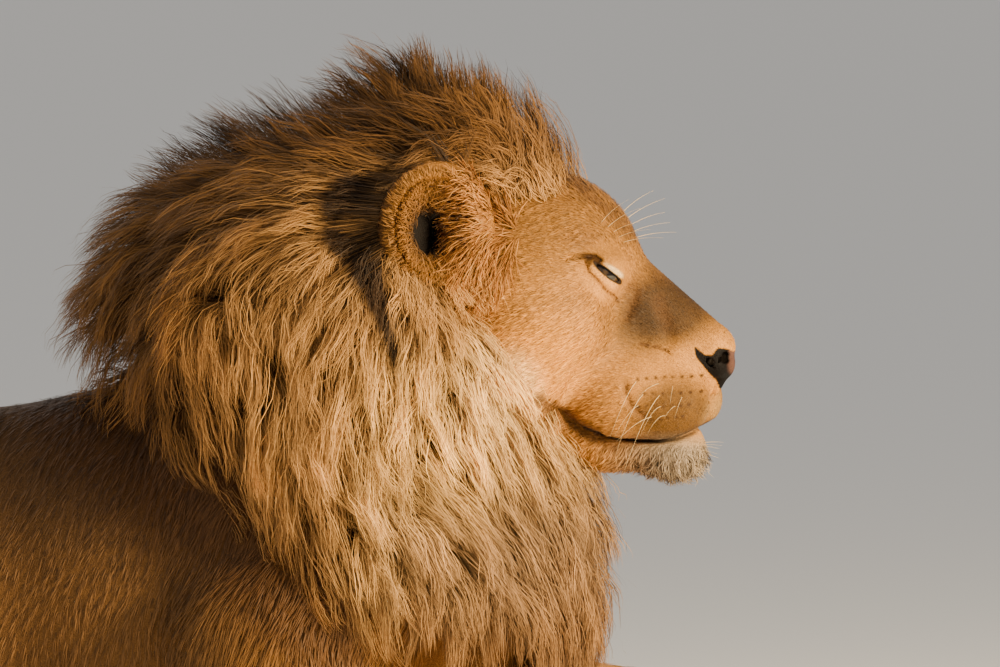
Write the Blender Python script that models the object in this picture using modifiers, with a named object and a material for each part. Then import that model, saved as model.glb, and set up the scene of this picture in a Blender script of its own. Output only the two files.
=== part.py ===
"""A male lion, life size, lying on its chest with its head held up: a still museum model.

Metres, +Z up, floor at z = 0. The lion faces +X and its left is +Y. Every solid reaches to the tips of
the coat. The model is blocked out in rounded forms, which are fused part by part, and each part is then
trimmed by the parts it lies against, so that neighbours meet with a hair's gap and never overlap.
"""

import math

import bmesh
import bpy
from mathutils import Euler, Matrix, Vector

# ---------------------------------------------------------------- driving dimensions
GAP = 0.0004                      # clearance between neighbouring solids
FLOOR = 0.0
CREASE = math.radians(50)         # edges sharper than this stay hard
WELD = 0.00005                    # slivers shorter than this are dissolved

HEAD_BACK, JAW_BACK = -0.045, 0.010              # where the mane's own hair and flesh take over
EYE_X, EYE_Y, EYE_Z = 0.121, 0.058, 0.560        # centre of an eyeball
EYE_RADIUS = 0.0185
LID_THICKNESS = 0.0028
SLIT_LENGTH, SLIT_HEIGHT, SLIT_DEPTH = 0.034, 0.009, 0.012
SLIT_SLOPE, SLIT_YAW = 38.0, 18.0                # degrees
EAR = Vector((-0.040, -0.128, 0.612))            # centre of the right ear
EAR_SIZE = (0.030, 0.066, 0.070)
EAR_YAW = 58.0
SIDES = {"right": -1, "left": 1}

COAT = (0.60, 0.40, 0.20)
COAT_PALE = (0.72, 0.56, 0.36)
MANE = (0.55, 0.35, 0.16)
SKIN_DARK = (0.05, 0.04, 0.04)
AMBER = (0.45, 0.24, 0.05)


# ---------------------------------------------------------------- scene set-up
def clear_scene():
    for obj in list(bpy.data.objects):
        bpy.data.objects.remove(obj)


def new_collection(name):
    collection = bpy.data.collections.new(name)
    bpy.context.scene.collection.children.link(collection)
    return collection


def make_material(name, colour, roughness):
    material = bpy.data.materials.new(name)
    material.use_nodes = True
    surface = material.node_tree.nodes["Principled BSDF"]
    surface.inputs["Base Color"].default_value = (*colour, 1.0)
    surface.inputs["Roughness"].default_value = roughness
    surface.inputs["Metallic"].default_value = 0.0
    return material


# ---------------------------------------------------------------- forms
def turned(pitch=0.0, yaw=0.0):
    """Rotation from degrees: pitch lowers the front end, yaw turns to the left."""
    return Euler((0.0, math.radians(pitch), math.radians(yaw))).to_matrix().to_4x4()


def ball(at, size, pitch=0.0, yaw=0.0, fineness=4):
    """An ellipsoid with the given half sizes."""
    def build(bm):
        matrix = Matrix.Translation(at) @ turned(pitch, yaw) @ Matrix.Diagonal((*size, 1.0))
        bmesh.ops.create_icosphere(bm, subdivisions=fineness, radius=1.0, matrix=matrix)
    return build


def limb(start, start_radius, end, end_radius, flat=1.0):
    """A tapered limb: the hull of two balls. Flat narrows it sideways."""
    def build(bm):
        draft = bmesh.new()
        for centre, radius in ((start, start_radius), (end, end_radius)):
            matrix = Matrix.Translation(centre) @ Matrix.Diagonal((radius, radius * flat, radius, 1.0))
            bmesh.ops.create_icosphere(draft, subdivisions=3, radius=1.0, matrix=matrix)
        bmesh.ops.convex_hull(draft, input=draft.verts)
        inside = [vert for vert in draft.verts if not vert.link_faces]
        bmesh.ops.delete(draft, geom=inside, context="VERTS")
        mesh = bpy.data.meshes.new("limb")
        draft.to_mesh(mesh)
        draft.free()
        bm.from_mesh(mesh)
        bpy.data.meshes.remove(mesh)
    return build


def both_sides(form_maker):
    """The same forms on the right and on the left."""
    return [form for side in SIDES.values() for form in form_maker(side)]


# ---------------------------------------------------------------- solids
def mesh_object(name, bm, collection):
    mesh = bpy.data.meshes.new(name)
    bm.to_mesh(mesh)
    bm.free()
    obj = bpy.data.objects.new(name, mesh)
    collection.objects.link(obj)
    return obj


def apply_modifiers(obj):
    graph = bpy.context.evaluated_depsgraph_get()
    old = obj.data
    obj.data = bpy.data.meshes.new_from_object(obj.evaluated_get(graph))
    obj.modifiers.clear()
    bpy.data.meshes.remove(old)


def keep_main_body(obj):
    """Closes pinholes, and drops the crumbs that a trim leaves loose beside the main body."""
    bm = bmesh.new()
    bm.from_mesh(obj.data)
    bmesh.ops.dissolve_degenerate(bm, dist=WELD, edges=bm.edges)
    bmesh.ops.holes_fill(bm, edges=[edge for edge in bm.edges if edge.is_boundary])
    bmesh.ops.triangulate(bm, faces=bm.faces)
    left = set(bm.verts)
    bodies = []
    while left:
        body, edge = set(), [next(iter(left))]
        while edge:
            vert = edge.pop()
            if vert in body:
                continue
            body.add(vert)
            edge.extend(e.other_vert(vert) for e in vert.link_edges)
        left -= body
        bodies.append(body)
    bodies.sort(key=len)
    crumbs = [vert for body in bodies[:-1] for vert in body]
    bmesh.ops.delete(bm, geom=crumbs, context="VERTS")
    bm.to_mesh(obj.data)
    bm.free()


def cut_flat(obj, point, outward):
    """Cuts away what lies beyond a plane and closes the part with a flat."""
    bm = bmesh.new()
    bm.from_mesh(obj.data)
    geometry = bm.verts[:] + bm.edges[:] + bm.faces[:]
    cut = bmesh.ops.bisect_plane(
        bm, geom=geometry, dist=1e-5, plane_co=point, plane_no=outward, clear_outer=True
    )
    rim = [item for item in cut["geom_cut"] if isinstance(item, bmesh.types.BMEdge)]
    bmesh.ops.holes_fill(bm, edges=rim)
    bmesh.ops.triangulate(bm, faces=bm.faces)
    bm.to_mesh(obj.data)
    bm.free()


def rest_on_floor(obj):
    cut_flat(obj, (0, 0, FLOOR), (0, 0, -1))


def fuse(name, forms, voxel, faces, rounding=6, symmetric=False, back=None):
    """Joins overlapping forms into one rounded, faceted solid. Back is where a flat ends it behind."""
    bm = bmesh.new()
    for form in forms:
        form(bm)
    obj = mesh_object(name, bm, lion)
    remesh = obj.modifiers.new("Fuse", "REMESH")
    remesh.mode = "VOXEL"
    remesh.voxel_size = voxel
    smooth = obj.modifiers.new("Round", "SMOOTH")
    smooth.factor = 0.5
    smooth.iterations = rounding
    apply_modifiers(obj)
    decimate = obj.modifiers.new("Facet", "DECIMATE")
    decimate.ratio = min(1.0, faces / (2 * len(obj.data.polygons)))
    if symmetric:
        mirror = obj.modifiers.new("Halves", "MIRROR")
        mirror.use_axis = (False, True, False)
        mirror.use_bisect_axis = (False, True, False)
        mirror.use_mirror_merge = True
        mirror.merge_threshold = 0.0001
    apply_modifiers(obj)
    if back is not None:
        cut_flat(obj, (back, 0, 0), (-1, 0, 0))
    keep_form(obj)
    return obj


def helper(name, bm):
    """A cutting shape that isn't part of the lion."""
    cutter = mesh_object(name, bm, cutters)
    cutter.hide_render = True
    cutter.display_type = "WIRE"
    return cutter


def keep_form(obj):
    """Keeps a cutter in the part's untrimmed shape, larger by the gap."""
    bm = bmesh.new()
    bm.from_mesh(obj.data)
    swell = helper("cutter_" + obj.name, bm).modifiers.new("Gap", "DISPLACE")
    swell.mid_level = 0.0
    swell.strength = GAP


def cut_shape(obj, cutter):
    """Cuts a helper's shape out of a part."""
    cut = obj.modifiers.new("Cut", "BOOLEAN")
    cut.operation = "DIFFERENCE"
    cut.solver = "EXACT"
    cut.object = cutter
    apply_modifiers(obj)
    keep_main_body(obj)


def trim(obj, *neighbours):
    """Cuts the neighbours' untrimmed shapes out of a part, with the gap."""
    for neighbour in neighbours:
        cut_shape(obj, cutters.objects["cutter_" + neighbour.name])


def twin_mesh(mesh):
    """A mesh mirrored to the other side of the body."""
    twin = mesh.copy()
    twin.transform(Matrix.Scale(-1.0, 4, (0.0, 1.0, 0.0)))
    twin.flip_normals()
    return twin


def mirrored(obj):
    """The left copy of a right part. Its form is mirrored too."""
    name = obj.name.replace("_right", "_left")
    left = bpy.data.objects.new(name, twin_mesh(obj.data))
    lion.objects.link(left)
    form = bmesh.new()
    form.from_mesh(twin_mesh(cutters.objects["cutter_" + obj.name].data))
    swell = helper("cutter_" + name, form).modifiers.new("Gap", "DISPLACE")
    swell.mid_level = 0.0
    swell.strength = GAP
    return left


# ---------------------------------------------------------------- head
def head_side(y):
    return [
        ball((0.100, y * 0.044, 0.588), (0.050, 0.028, 0.024), pitch=42),       # brow
        ball((0.048, y * 0.080, 0.515), (0.078, 0.045, 0.060), pitch=12),       # cheekbone
        ball((0.015, y * 0.072, 0.450), (0.075, 0.048, 0.070)),                 # jaw muscle
        ball((0.186, y * 0.036, 0.421), (0.048, 0.037, 0.043), pitch=-8),       # whisker pad
        ball((0.138, y * 0.048, 0.430), (0.060, 0.036, 0.048)),                 # upper lip
        ball((0.232, y * 0.018, 0.466), (0.018, 0.015, 0.018)),                 # nostril wing
    ]


def slit_frame(side):
    """Place of the nearly closed eye: the slit falls towards the nose and faces sideways."""
    centre = Vector((EYE_X, side * EYE_Y, EYE_Z))
    return Matrix.Translation(centre) @ turned(pitch=SLIT_SLOPE, yaw=side * SLIT_YAW)


def lid_form(side):
    return ball((EYE_X, side * EYE_Y, EYE_Z), (EYE_RADIUS + LID_THICKNESS,) * 3)


def cut_slit(head, side):
    bm = bmesh.new()
    reach = slit_frame(side) @ Matrix.Translation((0, side * EYE_RADIUS, 0))
    size = Matrix.Diagonal((SLIT_LENGTH / 2, SLIT_DEPTH, SLIT_HEIGHT / 2, 1.0))
    bmesh.ops.create_icosphere(bm, subdivisions=2, radius=1.0, matrix=reach @ size)
    cut_shape(head, helper("cutter_slit", bm))


def make_head(eyes, nose):
    forms = [
        ball((0.005, 0, 0.580), (0.100, 0.092, 0.086)),                         # skull
        ball((0.072, 0, 0.594), (0.080, 0.076, 0.062), pitch=30),               # forehead
        limb((0.105, 0, 0.553), 0.052, (0.220, 0, 0.482), 0.0315, flat=1.12),   # nose bridge
        ball((0.230, 0, 0.476), (0.020, 0.029, 0.024), pitch=24),               # nose tip
        limb((0.060, 0, 0.485), 0.085, (0.180, 0, 0.452), 0.056),               # muzzle
        *both_sides(head_side),
        *(lid_form(side) for side in SIDES.values()),
    ]
    head = fuse("head", forms, voxel=0.005, faces=660, rounding=4, symmetric=True, back=HEAD_BACK)
    for side, eye in zip(SIDES.values(), eyes):
        cut_slit(head, side)
        trim(head, eye)
    trim(head, nose)
    return head


def make_jaw():
    forms = [
        limb((0.020, 0, 0.408), 0.058, (0.110, 0, 0.378), 0.044),
        limb((0.110, 0, 0.376), 0.044, (0.184, 0, 0.372), 0.034),
        ball((0.188, 0, 0.358), (0.034, 0.034, 0.028)),                         # chin tuft
    ]
    return fuse("jaw", forms, voxel=0.006, faces=170, rounding=4, symmetric=True, back=JAW_BACK)


def make_nose():
    forms = [
        ball((0.239, 0, 0.462), (0.015, 0.030, 0.015), pitch=20),
        limb((0.237, 0, 0.458), 0.012, (0.234, 0, 0.434), 0.005),
    ]
    return fuse("nose", forms, voxel=0.002, faces=90, rounding=3, symmetric=True)


def make_ear():
    """The right ear: a rounded cup that opens outwards and a little forwards."""
    ear = fuse("ear_right", [ball(EAR, EAR_SIZE, yaw=-EAR_YAW)], voxel=0.006, faces=110, rounding=2)
    bm = bmesh.new()
    mouth = EAR + turned(yaw=-EAR_YAW) @ Vector((EAR_SIZE[0] * 0.9, 0.0, 0.0))
    hollow = (EAR_SIZE[0] * 1.15, EAR_SIZE[1] * 0.80, EAR_SIZE[2] * 0.80)
    ball(mouth, hollow, yaw=-EAR_YAW, fineness=2)(bm)
    cut_shape(ear, helper("cutter_ear_hollow", bm))
    return ear


def ear_clearance(side):
    """The ear's full round form, larger by the gap, which keeps the mane out of its cup."""
    bm = bmesh.new()
    size = [half + 0.005 for half in EAR_SIZE]
    ball((EAR.x, side * abs(EAR.y), EAR.z), size, yaw=side * EAR_YAW, fineness=2)(bm)
    return helper("cutter_ear_form", bm)


def make_eye():
    bm = bmesh.new()
    centre = Matrix.Translation((EYE_X, -EYE_Y, EYE_Z))
    bmesh.ops.create_uvsphere(bm, u_segments=12, v_segments=8, radius=EYE_RADIUS, matrix=centre)
    eye = mesh_object("eye_right", bm, lion)
    cut_flat(eye, (0, -EYE_Y + EYE_RADIUS * 0.3, 0), (0, 1, 0))
    keep_form(eye)
    return eye


# ---------------------------------------------------------------- body
def make_trunk():
    forms = [
        ball((-0.330, 0, 0.215), (0.290, 0.168, 0.225)),                        # rib cage
        ball((-0.110, 0, 0.210), (0.165, 0.148, 0.220)),                        # fore chest
        ball((-0.700, 0, 0.187), (0.300, 0.166, 0.197)),                        # belly
        limb((-0.300, 0, 0.350), 0.085, (-0.660, 0, 0.324), 0.078),             # back
        limb((-0.660, 0, 0.324), 0.078, (-1.000, 0, 0.314), 0.088),             # loin
        ball((-1.035, 0, 0.225), (0.155, 0.148, 0.180)),                        # rump
    ]
    return fuse("trunk", forms, voxel=0.013, faces=440, rounding=8, symmetric=True)


def make_shoulder(y=-1):
    forms = [
        ball((-0.225, y * 0.128, 0.295), (0.098, 0.062, 0.165), pitch=-32),     # shoulder blade
        ball((-0.090, y * 0.140, 0.235), (0.090, 0.070, 0.095)),                # point of the shoulder
        ball((-0.200, y * 0.168, 0.170), (0.125, 0.068, 0.110), pitch=25),      # upper arm
    ]
    return fuse("shoulder_right", forms, voxel=0.011, faces=170, rounding=8)


def make_forearm(y=-1):
    forms = [
        ball((-0.160, y * 0.184, 0.084), (0.085, 0.068, 0.090)),                # elbow
        limb((-0.140, y * 0.182, 0.076), 0.080, (0.165, y * 0.165, 0.062), 0.060),
    ]
    return fuse("forearm_right", forms, voxel=0.009, faces=150, rounding=5)


def toes(x, y, z, spread, size, curl=0.010):
    """Four toes side by side, the middle two further forward."""
    places = (-1.5, -0.5, 0.5, 1.5)
    return [
        ball((x - curl * abs(place) ** 1.5, y + place * spread, z), size, pitch=12, yaw=place * 4)
        for place in places
    ]


def make_forepaw(side=-1):
    y = side * 0.165
    forms = [
        limb((0.165, y, 0.058), 0.058, (0.260, y, 0.048), 0.053, flat=1.05),
        *toes(0.322, y, 0.036, 0.029, (0.048, 0.020, 0.038)),
    ]
    return fuse("forepaw_right", forms, voxel=0.006, faces=200, rounding=4)


def make_thigh(y=-1):
    forms = [
        ball((-0.920, y * 0.148, 0.212), (0.190, 0.082, 0.168), pitch=18),      # thigh
        ball((-0.770, y * 0.188, 0.165), (0.085, 0.062, 0.102)),                # knee
    ]
    return fuse("thigh_right", forms, voxel=0.010, faces=170, rounding=6)


def make_shank(y=-1):
    forms = [
        limb((-0.785, y * 0.205, 0.108), 0.072, (-1.030, y * 0.215, 0.062), 0.044),
        ball((-1.055, y * 0.213, 0.050), (0.045, 0.034, 0.052)),                # hock
    ]
    return fuse("shank_right", forms, voxel=0.009, faces=110, rounding=4)


def make_hindpaw(y=-1):
    forms = [
        limb((-1.005, y * 0.222, 0.036), 0.038, (-0.800, y * 0.245, 0.038), 0.042),
        *toes(-0.742, y * 0.248, 0.032, 0.025, (0.043, 0.0175, 0.034)),
    ]
    return fuse("hindpaw_right", forms, voxel=0.006, faces=160, rounding=4)


TAIL_ROUTE = [
    # x, y, z, radius: from the rump down to the floor, round to the right side and forward along it
    (-1.130, 0.000, 0.215, 0.042), (-1.220, 0.000, 0.140, 0.033), (-1.295, -0.020, 0.062, 0.028),
    (-1.345, -0.080, 0.025, 0.026), (-1.350, -0.180, 0.022, 0.024), (-1.295, -0.275, 0.021, 0.022),
    (-1.200, -0.335, 0.020, 0.021), (-1.090, -0.362, 0.019, 0.020), (-0.980, -0.370, 0.018, 0.019),
    (-0.880, -0.368, 0.017, 0.018),
]
TAIL_SPLIT = 4


def make_tail():
    lengths = (("tail_root", TAIL_ROUTE[:TAIL_SPLIT + 1]), ("tail_end", TAIL_ROUTE[TAIL_SPLIT:]))
    parts = []
    for name, stretch in lengths:
        forms = [limb(a[:3], a[3], b[:3], b[3]) for a, b in zip(stretch, stretch[1:])]
        parts.append(fuse(name, forms, voxel=0.006, faces=120, rounding=5))
    tuft = fuse("tail_tuft", [
        limb((-0.885, -0.368, 0.020), 0.019, (-0.810, -0.362, 0.030), 0.036),
        limb((-0.810, -0.362, 0.030), 0.036, (-0.710, -0.350, 0.016), 0.012),
    ], voxel=0.006, faces=70, rounding=4)
    return (*parts, tuft)


# ---------------------------------------------------------------- mane
def mane_side(y):
    return [
        ball((-0.190, y * 0.120, 0.465), (0.195, 0.128, 0.195), pitch=-30),     # behind the ear
        ball((-0.085, y * 0.105, 0.345), (0.148, 0.125, 0.222), pitch=-12),     # below the ear
        ball((-0.010, y * 0.090, 0.400), (0.088, 0.082, 0.122)),                # cheek ruff
    ]


def make_mane():
    """The mane round the neck and over the shoulders."""
    forms = [
        ball((-0.210, 0, 0.480), (0.282, 0.170, 0.258), pitch=-35),             # nape
        ball((-0.085, 0, 0.600), (0.160, 0.126, 0.128), pitch=-15),             # poll
        *both_sides(mane_side),
    ]
    return fuse("mane", forms, voxel=0.014, faces=440, rounding=22, symmetric=True)


def make_crest():
    """The upright hair between the ears."""
    forms = [
        ball((-0.078, 0, 0.690), (0.130, 0.066, 0.116)),
        ball((-0.006, 0, 0.684), (0.085, 0.066, 0.084), pitch=40),
    ]
    return fuse("mane_crest", forms, voxel=0.009, faces=150, rounding=5, symmetric=True)


def make_bib():
    """The pale chest hair under the chin."""
    forms = [
        ball((0.000, 0, 0.260), (0.125, 0.152, 0.198)),
        ball((0.010, 0, 0.140), (0.094, 0.114, 0.124)),
    ]
    return fuse("mane_bib", forms, voxel=0.012, faces=190, rounding=8, symmetric=True)


# ---------------------------------------------------------------- assembly
def finish_part(obj, material):
    obj.data.materials.clear()
    obj.data.materials.append(material)
    obj.data.shade_smooth()
    obj.data.set_sharp_from_angle(angle=CREASE)


def centre_on_origin(parts):
    """Hangs the parts on an empty that brings the middle of their box over the origin."""
    corners = [vert.co for obj in parts for vert in obj.data.vertices]
    middle = [(min(axis) + max(axis)) / 2 for axis in list(zip(*corners))[:2]]
    stand = bpy.data.objects.new("lion_stand", None)
    lion.objects.link(stand)
    stand.location = (-middle[0], -middle[1], 0.0)
    for obj in parts:
        obj.parent = stand


clear_scene()
lion = new_collection("lion")
cutters = new_collection("cutters")

eye_right = make_eye()
eye_left = mirrored(eye_right)
nose = make_nose()
head = make_head((eye_right, eye_left), nose)
ear_right = make_ear()
trim(ear_right, head)
ear_left = mirrored(ear_right)

trunk = make_trunk()
jaw = make_jaw()
trim(jaw, head, trunk)
shoulder_right = make_shoulder()
trim(shoulder_right, trunk)
forearm_right = make_forearm()
trim(forearm_right, shoulder_right, trunk)
forepaw_right = make_forepaw()
trim(forepaw_right, forearm_right)
thigh_right = make_thigh()
trim(thigh_right, trunk)
shank_right = make_shank()
trim(shank_right, trunk, thigh_right)
hindpaw_right = make_hindpaw()
trim(hindpaw_right, trunk, thigh_right, shank_right)
tail_root, tail_end, tail_tuft = make_tail()
trim(tail_root, trunk)
trim(tail_end, tail_root)
trim(tail_tuft, tail_end)
for limb_part in (trunk, forearm_right, forepaw_right, shank_right, hindpaw_right, tail_root, tail_end, tail_tuft):
    rest_on_floor(limb_part)

shoulder_left = mirrored(shoulder_right)
forearm_left = mirrored(forearm_right)
forepaw_left = mirrored(forepaw_right)
thigh_left = mirrored(thigh_right)
shank_left = mirrored(shank_right)
hindpaw_left = mirrored(hindpaw_right)

forequarters = (trunk, shoulder_right, shoulder_left, forearm_right, forearm_left)
mane = make_mane()
crest = make_crest()
bib = make_bib()
trim(mane, head, jaw, *forequarters)
for ear_side in SIDES.values():
    cut_shape(mane, ear_clearance(ear_side))
    cut_shape(crest, ear_clearance(ear_side))
trim(crest, head, mane)
trim(bib, head, jaw, mane, *forequarters)
rest_on_floor(bib)

coat = make_material("coat", COAT, 0.9)
mane_hair = make_material("mane_hair", MANE, 0.85)
pale_hair = make_material("pale_hair", COAT_PALE, 0.9)
nose_leather = make_material("nose_leather", SKIN_DARK, 0.4)
amber_eye = make_material("amber_eye", AMBER, 0.1)
MATERIAL_OF = {
    "eye": amber_eye, "nose": nose_leather, "jaw": pale_hair, "mane": mane_hair, "mane_bib": pale_hair,
    "mane_crest": mane_hair, "tail_tuft": mane_hair,
}
solids = [obj for obj in lion.objects if obj.type == "MESH"]
for obj in solids:
    kind = obj.name.removesuffix("_right").removesuffix("_left")
    finish_part(obj, MATERIAL_OF.get(kind, coat))
centre_on_origin(solids)
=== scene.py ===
import math

import bmesh
import bpy
import numpy as np
from mathutils import Matrix, Vector
from mathutils.kdtree import KDTree


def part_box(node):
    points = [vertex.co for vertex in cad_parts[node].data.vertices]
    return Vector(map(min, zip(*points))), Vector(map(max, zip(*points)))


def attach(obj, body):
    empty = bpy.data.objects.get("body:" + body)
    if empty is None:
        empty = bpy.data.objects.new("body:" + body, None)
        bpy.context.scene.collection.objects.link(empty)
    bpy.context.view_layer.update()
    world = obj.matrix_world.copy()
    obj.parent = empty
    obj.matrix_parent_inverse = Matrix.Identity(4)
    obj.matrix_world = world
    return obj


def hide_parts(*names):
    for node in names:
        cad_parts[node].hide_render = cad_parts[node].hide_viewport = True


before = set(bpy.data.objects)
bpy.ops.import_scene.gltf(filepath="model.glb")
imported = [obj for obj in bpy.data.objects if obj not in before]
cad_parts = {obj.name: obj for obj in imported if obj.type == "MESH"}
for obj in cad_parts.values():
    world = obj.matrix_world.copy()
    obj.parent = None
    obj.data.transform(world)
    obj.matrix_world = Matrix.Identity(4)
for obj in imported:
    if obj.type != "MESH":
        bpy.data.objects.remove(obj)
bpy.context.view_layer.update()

# Looks of the lying lion. One skin is drawn from a smooth field of rounded forms, and the coat is a mesh of
# thin ribbons combed over it: long locks in the mane, short hair on the body and very short hair on the face.
# All is worked out in the lion's own space (metres, nose along +X, midline at y = 0, floor at z = 0) and
# moved to the frame at the end. Paired things are worked out on the left side, where x, a and z say how far
# a point lies forwards, out from the midline and up.

F = np.float32
RNG = np.random.default_rng(7)
FEW = 1.0  # share of the hair that is made
TURN = 6.28  # a turn of a wave, radians

# ---------------------------------------------------------------- driving dimensions
EYE_NODE = (0.121, 0.058, 0.560)  # centre of the frame's eye, which places the lion
EYE, EYE_RADIUS = (0.1228, 0.0570, 0.5610), 0.0185
LID = 0.0022  # thickness of a lid
SLIT_SLOPE, SLIT_YAW = 36.0, -30.0  # degrees: the slit falls towards the nose and faces forwards
EAR, EAR_SIZE, EAR_YAW = (-0.040, 0.128, 0.612), (0.030, 0.066, 0.070), 58.0
FACE, BODY, LEG, PAW = 3.5, 10, 8, 5  # depth of the coat over the skin, millimetres


def lion_origin():
    """Where the lion's own origin lies in the frame, found from the boxes of the eyes."""
    low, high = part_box("eye_right")
    side = (low.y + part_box("eye_left")[1].y) / 2
    return Vector(((low.x + high.x) / 2 - EYE_NODE[0], side, (low.z + high.z) / 2 - EYE_NODE[2]))


ORIGIN = lion_origin()


# ---------------------------------------------------------------- small maths
def metres(values):
    """A number or a tuple of numbers in millimetres, turned to metres."""
    return tuple(v / 1000 for v in values) if isinstance(values, tuple) else values / 1000


def turned(pitch=0.0, yaw=0.0):
    """Rotation: pitch lowers the front end, yaw turns to the left."""
    p, w = math.radians(pitch), math.radians(yaw)
    about_y = np.array([[math.cos(p), 0, math.sin(p)], [0, 1, 0], [-math.sin(p), 0, math.cos(p)]])
    about_z = np.array([[math.cos(w), -math.sin(w), 0], [math.sin(w), math.cos(w), 0], [0, 0, 1]])
    return (about_z @ about_y).astype(F)


def ramp(value, low, high):
    """Smooth step from 0 at low to 1 at high; low may be above high."""
    t = np.clip((value - low) / (high - low), 0.0, 1.0)
    return t * t * (3.0 - 2.0 * t)


def mix(values, share, other):
    """Rows moved towards other rows by a share from 0 to 1."""
    share = np.clip(share, 0.0, 1.0)[:, None]
    return values * (1.0 - share) + np.asarray(other) * share


def columns(like, *values):
    """Rows from their columns, each an array or one number."""
    return np.column_stack([value + 0 * like for value in values])


def dot(one, other):
    return np.einsum("ij,ij->i", one, other)


def size_of(vectors):
    return np.sqrt(dot(vectors, vectors))


def unit(vectors):
    return vectors / np.maximum(np.linalg.norm(vectors, axis=-1, keepdims=True), 1e-9)


def smooth_min(a, b, k):
    h = np.clip(0.5 + 0.5 * (b - a) / k, 0.0, 1.0)
    return b + (a - b) * h - k * h * (1.0 - h)


def smooth_max(a, b, k):
    return -smooth_min(-a, -b, k)


def folded(p):
    """The points brought to the left side, and their columns x, a and z."""
    m = np.column_stack((p[:, 0], np.abs(p[:, 1]), p[:, 2]))
    return m, *m.T


def away(m, at, radii=(1, 1, 1)):
    """Distance from a place, in radii."""
    return np.linalg.norm((m - np.array(at, F)) / np.array(radii, F), axis=1)


def blob(m, at, radii, edge=0.5):
    """1 inside an upright ellipsoid, fading to 0 at its edge."""
    return ramp(away(m, at, radii), 1.0, edge)


def path(*points):
    """A path as seen from the side, from points (x, z) in millimetres."""
    return [metres(point) for point in points]


def path_distance(x, z, points):
    """Distance in the side view from a path."""
    best = np.full(len(x), 1.0, F)
    for (ax, az), (bx, bz) in zip(points, points[1:]):
        dx, dz = bx - ax, bz - az
        t = np.clip(((x - ax) * dx + (z - az) * dz) / (dx * dx + dz * dz), 0.0, 1.0)
        best = np.minimum(best, np.hypot(x - ax - t * dx, z - az - t * dz))
    return best


# ---------------------------------------------------------------- forms
def ball(at, size, pitch=0.0, yaw=0.0, inset=0.0, blend=0.02):
    """An ellipsoid: its distance, its centre, its reach and the width of its blend."""
    centre, half, rotation = np.array(at, F), np.array(size, F), turned(pitch, yaw)

    def distance(p):
        q = (p - centre) @ rotation / half
        k = size_of(q)
        return k * (k - 1.0) / np.maximum(size_of(q / half), 1e-5) + inset
    return distance, centre, float(half.max()), blend


def limb(start, start_radius, end, end_radius, flat=1.0, inset=0.0, blend=0.02):
    """A tapered limb with round ends. Flat widens or narrows it sideways."""
    squeeze = np.array([1.0, 1.0 / flat, 1.0], F)
    a, b = np.array(start, F), np.array(end, F)
    axis = (b - a) * squeeze
    length2 = float(axis @ axis)

    def distance(p):
        q = (p - a) * squeeze
        t = np.clip(q @ axis / length2, 0.0, 1.0)
        return size_of(q - t[:, None] * axis) - (start_radius + (end_radius - start_radius) * t) + inset
    reach = float(np.linalg.norm(b - a)) / 2 + max(start_radius, end_radius) * max(flat, 1.0)
    return distance, (a + b) / 2, reach, blend


def forms(*rows):
    """Forms from rows in millimetres and degrees. A row starts with its coat's depth and ends with its blend.
    In between are a ball's centre, half sizes and pitch, or a limb's start, radius, end, radius and flat."""
    kinds = {2: ball, 4: limb}
    return [
        kinds[len(shape)](*map(metres, shape), turn, inset=metres(coat), blend=metres(blend))
        for coat, *shape, turn, blend in rows
    ]


def union(parts, p, margin=0.09):
    """Smooth union of forms. Forms well away from all the points are passed over."""
    field = np.full(len(p), 1.0, F)
    low, high = p.min(0), p.max(0)
    for distance, centre, reach, blend in parts:
        gap = np.maximum(np.maximum(low - centre, centre - high), 0.0)
        if float(np.linalg.norm(gap)) < reach + margin:
            field = smooth_min(field, distance(p), blend)
    return field


def toes(x, y, z, spread, size, curl=0.010):
    return [
        ball((x - curl * abs(k) ** 1.5, y + k * spread, z), size, 12, k * 4, metres(PAW), 0.010)
        for k in (-1.5, -0.5, 0.5, 1.5)
    ]


HEAD = forms(
    (FACE, (5, 0, 580), (100, 92, 86), 0, 20),  # skull
    (FACE, (72, 0, 594), (80, 76, 62), 30, 30),  # forehead
    (FACE, (105, 0, 553), 50, (220, 0, 482), 30, 1.12, 20),  # nose bridge
    (2, (231, 0, 475), (20, 30, 23), 24, 10),  # nose tip
    (FACE, (60, 0, 485), 83, (180, 0, 452), 54, 1, 20),  # muzzle
    (FACE, (100, 44, 588), (50, 28, 22), 42, 16),  # brow
    (FACE, (44, 78, 518), (82, 43, 66), 12, 50),  # cheekbone
    (FACE, (15, 72, 450), (75, 48, 70), 0, 30),  # jaw muscle
    (FACE, (186, 36, 421), (48, 36, 42), -8, 14),  # whisker pad
    (FACE, (138, 48, 430), (60, 35, 47), 0, 16),  # upper lip
    (2, (232, 18, 466), (17, 14, 17), 0, 6),  # nostril wing
    (1, (238, 0, 460), (13, 26, 14), 20, 5),  # nose leather
    (0, (236, 0, 456), 10, (231, 0, 434), 5, 1, 5),  # under the nose
)
JAW = forms(
    (FACE, (20, 0, 412), 54, (110, 0, 390), 38, 1, 20),
    (FACE, (110, 0, 388), 38, (187, 0, 377), 33, 1, 20),
    (5, (190, 0, 366), (30, 30, 24), 0, 20),  # chin
)
NECK = forms(
    (0, (-250, 0, 360), 140, (-55, 0, 535), 100, 0.92, 50),
    (0, (-60, 0, 300), 120, (0, 0, 430), 85, 0.95, 50),  # throat
    (0, (-50, 0, 220), (120, 130, 180), 0, 50),  # breast
)
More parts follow.
